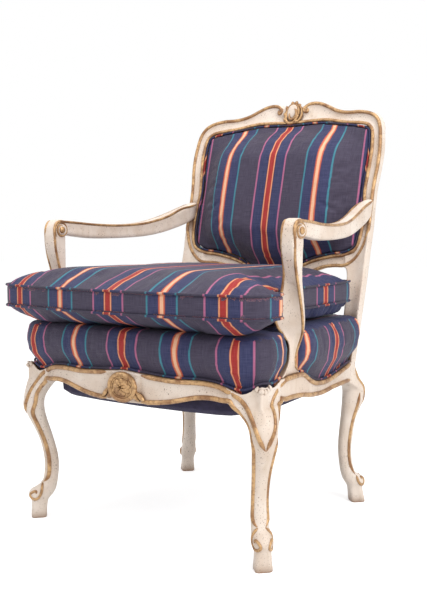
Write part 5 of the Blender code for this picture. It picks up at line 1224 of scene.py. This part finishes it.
# %% Blow up a cover
FRAMES = 20
PRESSURE = 4.0
THREAD_STIFFNESS = 12
BEND_STIFFNESS = 0.6
CLOTH_GROWTH = -0.02           # a negative shrink: the cloth grows by two hundredths
COVER_PASSES = 6


def plumped(piece, grain, held, cap):
    """Remesh a closed cover, let the cloth solver fill it, and cap how far each point moves."""
    even_faces(piece, grain)
    smoothed(piece, COVER_PASSES, lambda place: held(place) < 0.9)
    rest = np.array([v.co for v in piece.data.vertices])
    group = piece.vertex_groups.new(name="held")
    for k, place in enumerate(rest):
        weight = held(Vector(place))
        if weight > 0:
            group.add([k], weight, "REPLACE")
    cloth = piece.modifiers.new("filling", "CLOTH")
    cloth.settings.use_pressure = True
    cloth.settings.uniform_pressure_force = PRESSURE
    cloth.settings.effector_weights.gravity = 0.0
    cloth.settings.vertex_group_mass = "held"
    cloth.settings.quality = 4
    cloth.settings.tension_stiffness = THREAD_STIFFNESS
    cloth.settings.compression_stiffness = THREAD_STIFFNESS
    cloth.settings.bending_stiffness = BEND_STIFFNESS
    cloth.settings.shrink_min = CLOTH_GROWTH
    cloth.collision_settings.use_collision = False
    cloth.point_cache.frame_start = 1
    cloth.point_cache.frame_end = FRAMES
    for number in range(1, FRAMES + 1):
        bpy.context.scene.frame_set(number)
    graph = bpy.context.evaluated_depsgraph_get()
    moved = np.array([v.co for v in piece.evaluated_get(graph).data.vertices])
    piece.modifiers.clear()
    bpy.context.scene.frame_set(1)
    shift = moved - rest
    length = np.linalg.norm(shift, axis=1)
    keep = cap * np.tanh(length / cap) / np.maximum(length, 1e-9)
    placed = rest + shift * keep[:, None]
    piece.data.vertices.foreach_set("co", placed.astype(np.float32).ravel())
    piece.data.update()
    print(piece.name, len(rest), "points, moved up to", round(float((length * keep).max()) / MM, 1), "mm")


# %% Measure round an outline, for the stripes of a border
def outline_of(name, height):
    """The outer outline of a CAD node at one height, in order."""
    bm = merged(name)
    cut = bmesh.ops.bisect_plane(bm, geom=bm.verts[:] + bm.edges[:] + bm.faces[:], plane_co=(0, 0, height),
                                 plane_no=ALONG_Z)
    edges = [e for e in cut["geom_cut"] if isinstance(e, bmesh.types.BMEdge)]
    neighbours = {}
    for edge in edges:
        a, b = edge.verts
        neighbours.setdefault(a, []).append(b)
        neighbours.setdefault(b, []).append(a)
    start = min(neighbours, key=lambda v: (v.co.y, abs(v.co.x)))
    loop = [start]
    previous = None
    here = start
    while True:
        options = [v for v in neighbours[here] if v is not previous]
        if not options or options[0] is start or len(loop) > 5000:
            break
        previous, here = here, options[0]
        loop.append(here)
    points = [v.co.copy() for v in loop]
    bm.free()
    return points


def border_measure(points):
    """A function that gives the signed length round an outline from the middle of its front."""
    fine = []
    for a, b in zip(points, points[1:] + points[:1]):
        steps = max(int((b - a).length / (2 * MM)), 1)
        fine += [a.lerp(b, k / steps) for k in range(steps)]
    start = min(range(len(fine)), key=lambda k: abs(fine[k].x) + (1 if fine[k].y > 0 else 0))
    fine = fine[start:] + fine[:start]
    if fine[5].x < fine[0].x:
        fine = [fine[0]] + fine[:0:-1]
    lengths = np.concatenate([[0.0], np.cumsum([(b - a).length for a, b in zip(fine, fine[1:])])])
    whole = lengths[-1] + (fine[0] - fine[-1]).length
    tree = KDTree(len(fine))
    for k, point in enumerate(fine):
        tree.insert((point.x, point.y, 0), k)
    tree.balance()

    def measure(point):
        k = tree.find((point.x, point.y, 0))[1]
        ahead = (fine[(k + 1) % len(fine)] - fine[k - 1]).normalized()
        length = float(lengths[k]) + (point.x - fine[k].x) * ahead.x + (point.y - fine[k].y) * ahead.y
        return length if length < whole / 2 else length - whole

    return measure


def map_stripes(piece, across, along):
    """Write a piece's own map: metres across and along the stripes, from each corner and its face."""
    mesh = piece.data
    layer = mesh.uv_layers.get("cloth") or mesh.uv_layers.new(name="cloth")
    for polygon in mesh.polygons:
        for corner in polygon.loop_indices:
            point = mesh.vertices[mesh.loops[corner].vertex_index].co
            layer.data[corner].uv = (across(point, polygon), along(point, polygon))


ARM_CLEAR = -0.125             # behind the arm supports the side cloth is a strip of its own
SIDE_START = -0.110            # where that strip's first stripe has its middle
SIDE_STRETCH = 1.15


def strip_across(point):
    return HALF_REPEAT - (point.y - SIDE_START) / SIDE_STRETCH


def side_strip(point, polygon, inside):
    """Across the stripes of a side strip, or None where a face isn't on a side."""
    middle = polygon.center
    if abs(middle.x) > inside and middle.y > ARM_CLEAR and abs(polygon.normal.z) < 0.8:
        return strip_across(point)
    return None


# %% [markdown]
# ## The sprung seat
# The seat is upholstered tight: one piece of cloth is pulled over the springs and the stuffing, round
# the arm supports, and down to the rails, where a welt hides its edge. Its sides bulge over the rails.

# %% Upholster the seat
SEAT_EDGE = 0.385              # below this the cover is held by its welt
SEAT_MEASURED = 0.405          # the height at which its outline is measured
SEAT_DEEPER = (0, 0, -0.012)
SEAT_SIDE_X = 0.262
SUPPORT_X = 0.285
SUPPORT_HALF = 0.026
seat_sheet = closed_up(outer_sheet("seat_cover", ALONG_Z), SEAT_DEEPER)
seat = add_piece("seat_cover_striped", seat_sheet, STRIPED, stands_for=["seat_cover"])
seat_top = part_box("seat_cover")[1].z


def seat_held(point):
    """The seat's cloth is held at its welt, at the arm supports and under the cushion."""
    edge = 1.0 if point.z < SEAT_EDGE else 0.0
    near_support = abs(abs(point.x) - SUPPORT_X) < SUPPORT_HALF and -0.225 < point.y < -0.115
    near_top = max(0.0, 1 - (seat_top - point.z) / 0.006)
    return max(edge, 1.0 if near_support else 0.0, min(near_top, 1.0))


plumped(seat, 5 * MM, seat_held, 5 * MM)
seat_measure = border_measure(outline_of("seat_cover", SEAT_MEASURED))


TOP_STRIPES = 0.244            # beyond this the top is plain, up to the side strips


def seat_across(point, polygon):
    if polygon.normal.z > 0.8 and polygon.center.z > seat_top - 0.012:
        return max(min(point.x, TOP_STRIPES), -TOP_STRIPES)
    strip = side_strip(point, polygon, SEAT_SIDE_X)
    return seat_measure(point) if strip is None else strip


def seat_along(point, polygon):
    return point.y if polygon.normal.z > 0.8 else point.z


map_stripes(seat, seat_across, seat_along)

# %% [markdown]
# ## The loose cushion
# The cushion is two panels and a border, with a welt in each seam. It is filled until its panels crown,
# and it lies flat only where it rests on the seat.

# %% Fill the cushion
cushion_sheet = closed_up(outer_sheet("cushion_cover", ALONG_Z))
cushion = add_piece("cushion_cover_striped", cushion_sheet, STRIPED, "cushion",
                    ["cushion_cover"])
BORDER_LOW = 0.4863
BORDER_HIGH = 0.5263
BORDER_MIDDLE = 0.5060         # the height at which the outline is measured
SEAM = 0.002                   # the seam reaches this far past the border
HELD_LOW = BORDER_LOW - SEAM
HELD_HIGH = BORDER_HIGH + SEAM
CUSHION_SIDE_X = 0.24
RESTS_FROM = 0.17              # so far in front of the middle the underside starts to lie on the seat


def cushion_held(point):
    return 1.0 if HELD_LOW < point.z < HELD_HIGH else 0.0


cushion_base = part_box("cushion_cover")[0].z
plumped(cushion, 6 * MM, cushion_held, 10 * MM)
REST_Z = cushion_base + 1.5 * MM
for vertex in cushion.data.vertices:
    place = vertex.co
    if place.z < HELD_LOW and place.y > -RESTS_FROM:
        share = min((place.y + RESTS_FROM) / 0.04, 1.0) * min((HELD_LOW - place.z) / 0.010, 1.0)
        place.z -= 0.7 * share * max(place.z - REST_Z, 0.0)
    place.z = max(place.z, cushion_base)
cushion_measure = border_measure(outline_of("cushion_cover", BORDER_MIDDLE))

EDGE_LINE = 0.2470             # behind the arms the panel keeps its colour from here to its welt


def on_border(polygon):
    return BORDER_LOW < polygon.center.z < BORDER_HIGH


def cushion_across(point, polygon):
    """Across the stripes. Behind the arms the ground stays plain up to the welt."""
    if on_border(polygon):
        strip = side_strip(point, polygon, CUSHION_SIDE_X)
        return cushion_measure(point) if strip is None else strip
    behind = min(max((point.y + 0.20) / 0.05, 0.0), 1.0)
    inner = max(min(point.x, EDGE_LINE), -EDGE_LINE)
    return point.x + behind * (inner - point.x)


map_stripes(cushion, cushion_across, lambda p, f: p.z if on_border(f) else p.y)

# %% [markdown]
# ## The back pad
# The pad is tight as well, domed in front of the frame, and its cloth runs down behind the welt.

# %% Stuff the back pad
PAD_DEEPER = (0, 0.014, 0)
PAD_EDGE = 0.272               # deeper than this the cloth is held behind its welt
pad_sheet = closed_up(outer_sheet("back_cover", FRONT), PAD_DEEPER)
pad = add_piece("back_cover_striped", pad_sheet, STRIPED, stands_for=["back_cover"])


def pad_held(point):
    return 1.0 if depth_in_back(point) > PAD_EDGE else 0.0


plumped(pad, 5 * MM, pad_held, 6 * MM)
map_stripes(pad, lambda p, f: p.x, lambda p, f: p.z)

# %% [markdown]
# ## The welts
# A welt is a cord in a strip of the same cloth. The strip was cut across the stripes, so their colours
# cross the welt where they meet it. Each welt is a rounded copy of its solid. On the seat and the cushion
# it has the map of the border beside it, and round the back a map that leans a little with the height.


# %% Cover the welts
WELT_LEAN = 0.35


def covered_welt(name, across, body="frame"):
    """A rounded welt in cloth of its own, on the body that it is sewn to."""
    bm = merged(name)
    flat_joined(bm, 14, 70)
    piece = add_piece(name + "_covered", bm, WELT_CLOTH, body, [name])
    rounded(piece, 2)
    baked_mesh(piece)
    piece.data.shade_smooth()
    map_stripes(piece, across, lambda p, f: p.x + p.y + p.z)


def welt_across(measure, inside):
    """The map of a welt beside a border: the border's measure, or the strip's on the sides."""
    def across(point, polygon):
        on_side = abs(point.x) > inside and point.y > ARM_CLEAR
        return strip_across(point) if on_side else measure(point)
    return across


for name in ("seat_welt_front", "seat_welt_left", "seat_welt_right"):
    covered_welt(name, welt_across(seat_measure, SEAT_SIDE_X))
for name in ("cushion_top_welt", "cushion_bottom_welt"):
    covered_welt(name, welt_across(cushion_measure, CUSHION_SIDE_X), "cushion")
for name in ("back_welt", "outside_back_gimp"):
    covered_welt(name, lambda p, f: p.x + WELT_LEAN * p.z * (1 if p.x > 0 else -1))

# %% [markdown]
# ## The stuffings
# Each cover is filled by a soft body. The body is a smooth copy of its solid, drawn in by a few
# millimetres, because real stuffing gives way under its cover.


# %% Draw the stuffings in
def drawn_in(name, body, depth):
    """A smooth copy of a stuffing, drawn in under its cover."""
    bm = merged(name)
    bmesh.ops.recalc_face_normals(bm, faces=bm.faces)
    for vertex in bm.verts:
        vertex.co -= vertex.normal * depth
    rounded(add_piece(name + "_soft", bm, STUFFING, body, [name]), 1)


drawn_in("seat_stuffing", "frame", 5 * MM)
drawn_in("back_stuffing", "frame", 7 * MM)
drawn_in("cushion_core", "cushion", 6 * MM)

WEBBING_SHRINK = 0.95         # its tacked ends lie under the dust cloth's edge
webbing = merged("seat_webbing")
low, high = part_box("seat_webbing")
middle = Vector(((low.x + high.x) / 2, (low.y + high.y) / 2, 0))
for vertex in webbing.verts:
    vertex.co.x = middle.x + (vertex.co.x - middle.x) * WEBBING_SHRINK
    vertex.co.y = middle.y + (vertex.co.y - middle.y) * WEBBING_SHRINK
add_piece("seat_webbing_woven", webbing, JUTE, stands_for=["seat_webbing"], smooth=False)

# %% [markdown]
# ## The outside back and the dust cloth
# The back is closed from behind with a flat panel of the same cloth, and a thin dark cloth hides the
# springs from below. Both are stretched sheets, so they keep the solid's shape, apart from the dark
# cloth's edge, which follows the rails up.


# %% Stretch the flat cloths
def stretched_cloth(name, finish):
    """A flat cloth: a copy of its solid, with its stripes mapped."""
    piece = add_piece(name + "_cloth", merged(name), finish, stands_for=[name])
    map_stripes(piece, lambda p, f: p.x, lambda p, f: p.z + p.y)
    return piece


stretched_cloth("outside_back", STRIPED)
dust_cloth = stretched_cloth("bottom_cover", DUST_CLOTH)

# %% Raise the dust cloth's edge to the rails
# the rails' lower edges rise between their scallops, and the cloth is tacked inside them
TUCK = 0.004
BELOW_RAILS = 0.20             # where the rays that look for the rails' lower edges start
SEAT_UNDERSIDE = 0.34          # a hit above this isn't a lower edge
dust_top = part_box("bottom_cover")[1].z
rails = surface_of("front_rail", "side_rail_left", "side_rail_right", "front_leg_left", "front_leg_right")
for vertex in dust_cloth.data.vertices:
    place = vertex.co
    if place.z > dust_top - 0.002:
        outward = Vector((place.x, place.y, 0)).normalized()
        for reach in (0.006, 0.012):
            below = Vector((place.x, place.y, BELOW_RAILS)) + outward * reach
            under = rails.ray_cast(below, ALONG_Z)[0]
            if under and dust_top < under.z < SEAT_UNDERSIDE:
                place.z = max(place.z, under.z + TUCK + min(place.z - dust_top, 0.0))

# %% [markdown]
# ## The studio
# The photograph shows the chair on white, in soft light. The strongest lamp stands on the viewer's right,
# a weak one in front on the left, and one above. The camera, and shiny or clear surfaces, see the floor
# and the world as white, while the world lights the chair by less than that.


# %% Floor, world and lamps
FLOOR_GREY = (0.80, 0.80, 0.80, 1.0)
FLOOR_GLOW = 0.58
WHITE = (1.0, 1.0, 1.0, 1.0)
WORLD_FILL = 0.55


def shown_white(tree):
    """One for the rays of the camera and of shiny or clear surfaces, nought for the light itself."""
    path = tree.nodes.new("ShaderNodeLightPath")
    shiny = maths(tree, "MAXIMUM", path.outputs["Is Glossy Ray"], path.outputs["Is Transmission Ray"])
    return maths(tree, "MAXIMUM", path.outputs["Is Camera Ray"], shiny)


def white_floor():
    """A floor that a camera sees as white, and that still darkens a little under the chair."""
    material = bpy.data.materials.new("white_floor")
    material.use_nodes = True
    tree = material.node_tree
    shader = tree.nodes["Principled BSDF"]
    shader.inputs["Base Color"].default_value = FLOOR_GREY
    shader.inputs["Roughness"].default_value = 1.0
    shader.inputs["Specular IOR Level"].default_value = 0.0
    glow = maths(tree, "MULTIPLY", shown_white(tree), FLOOR_GLOW)
    shader.inputs["Emission Color"].default_value = WHITE
    tree.links.new(glow, shader.inputs["Emission Strength"])
    return material


def studio():
    """A wide floor under a white world."""
    bm = bmesh.new()
    bmesh.ops.create_grid(bm, x_segments=1, y_segments=1, size=12.0)
    mesh = bpy.data.meshes.new("floor")
    bm.to_mesh(mesh)
    bm.free()
    mesh.materials.append(white_floor())
    floor = bpy.data.objects.new("floor", mesh)
    bpy.context.scene.collection.objects.link(floor)
    floor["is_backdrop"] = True
    world = bpy.data.worlds.new("studio_world")
    bpy.context.scene.world = world
    world.use_nodes = True
    tree = world.node_tree
    tree.nodes.clear()
    fill = node_in(tree, "ShaderNodeBackground", {"Color": WHITE, "Strength": WORLD_FILL})
    shown = node_in(tree, "ShaderNodeBackground", {"Color": WHITE, "Strength": 1.0})
    both = node_in(tree, "ShaderNodeMixShader",
                   {0: shown_white(tree), 1: fill.outputs[0], 2: shown.outputs[0]})
    output = tree.nodes.new("ShaderNodeOutputWorld")
    tree.links.new(both.outputs[0], output.inputs["Surface"])


def lamp(name, place, target, size, power):
    """A square soft lamp, in metres and watts, turned towards its target."""
    data = bpy.data.lights.new(name, "AREA")
    data.shape = "SQUARE"
    data.size = size
    data.energy = power
    item = bpy.data.objects.new(name, data)
    bpy.context.scene.collection.objects.link(item)
    item.location = place
    item.rotation_euler = (Vector(target) - Vector(place)).to_track_quat("-Z", "Y").to_euler()


studio()
lamp("front_left", (-1.5, -2.2, 1.9), (0, 0, 0.4), 1.4, 18.0)
lamp("key_right", (2.6, -0.9, 1.9), (0, 0, 0.45), 1.6, 56.0)
lamp("top", (0.1, -0.3, 2.8), (0, 0, 0.5), 1.6, 28.0)
bpy.context.scene.view_settings.view_transform = "Standard"

# %% Measure the shown box against the CAD model's box and finish
SHOWN_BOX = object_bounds()
for low_or_high, (cad, shown) in enumerate(zip(CAD_BOX, SHOWN_BOX)):
    past = [round((s - c) / MM, 1) for c, s in zip(cad, shown)]
    print("box corner", low_or_high, past, "mm from the CAD model's corner")
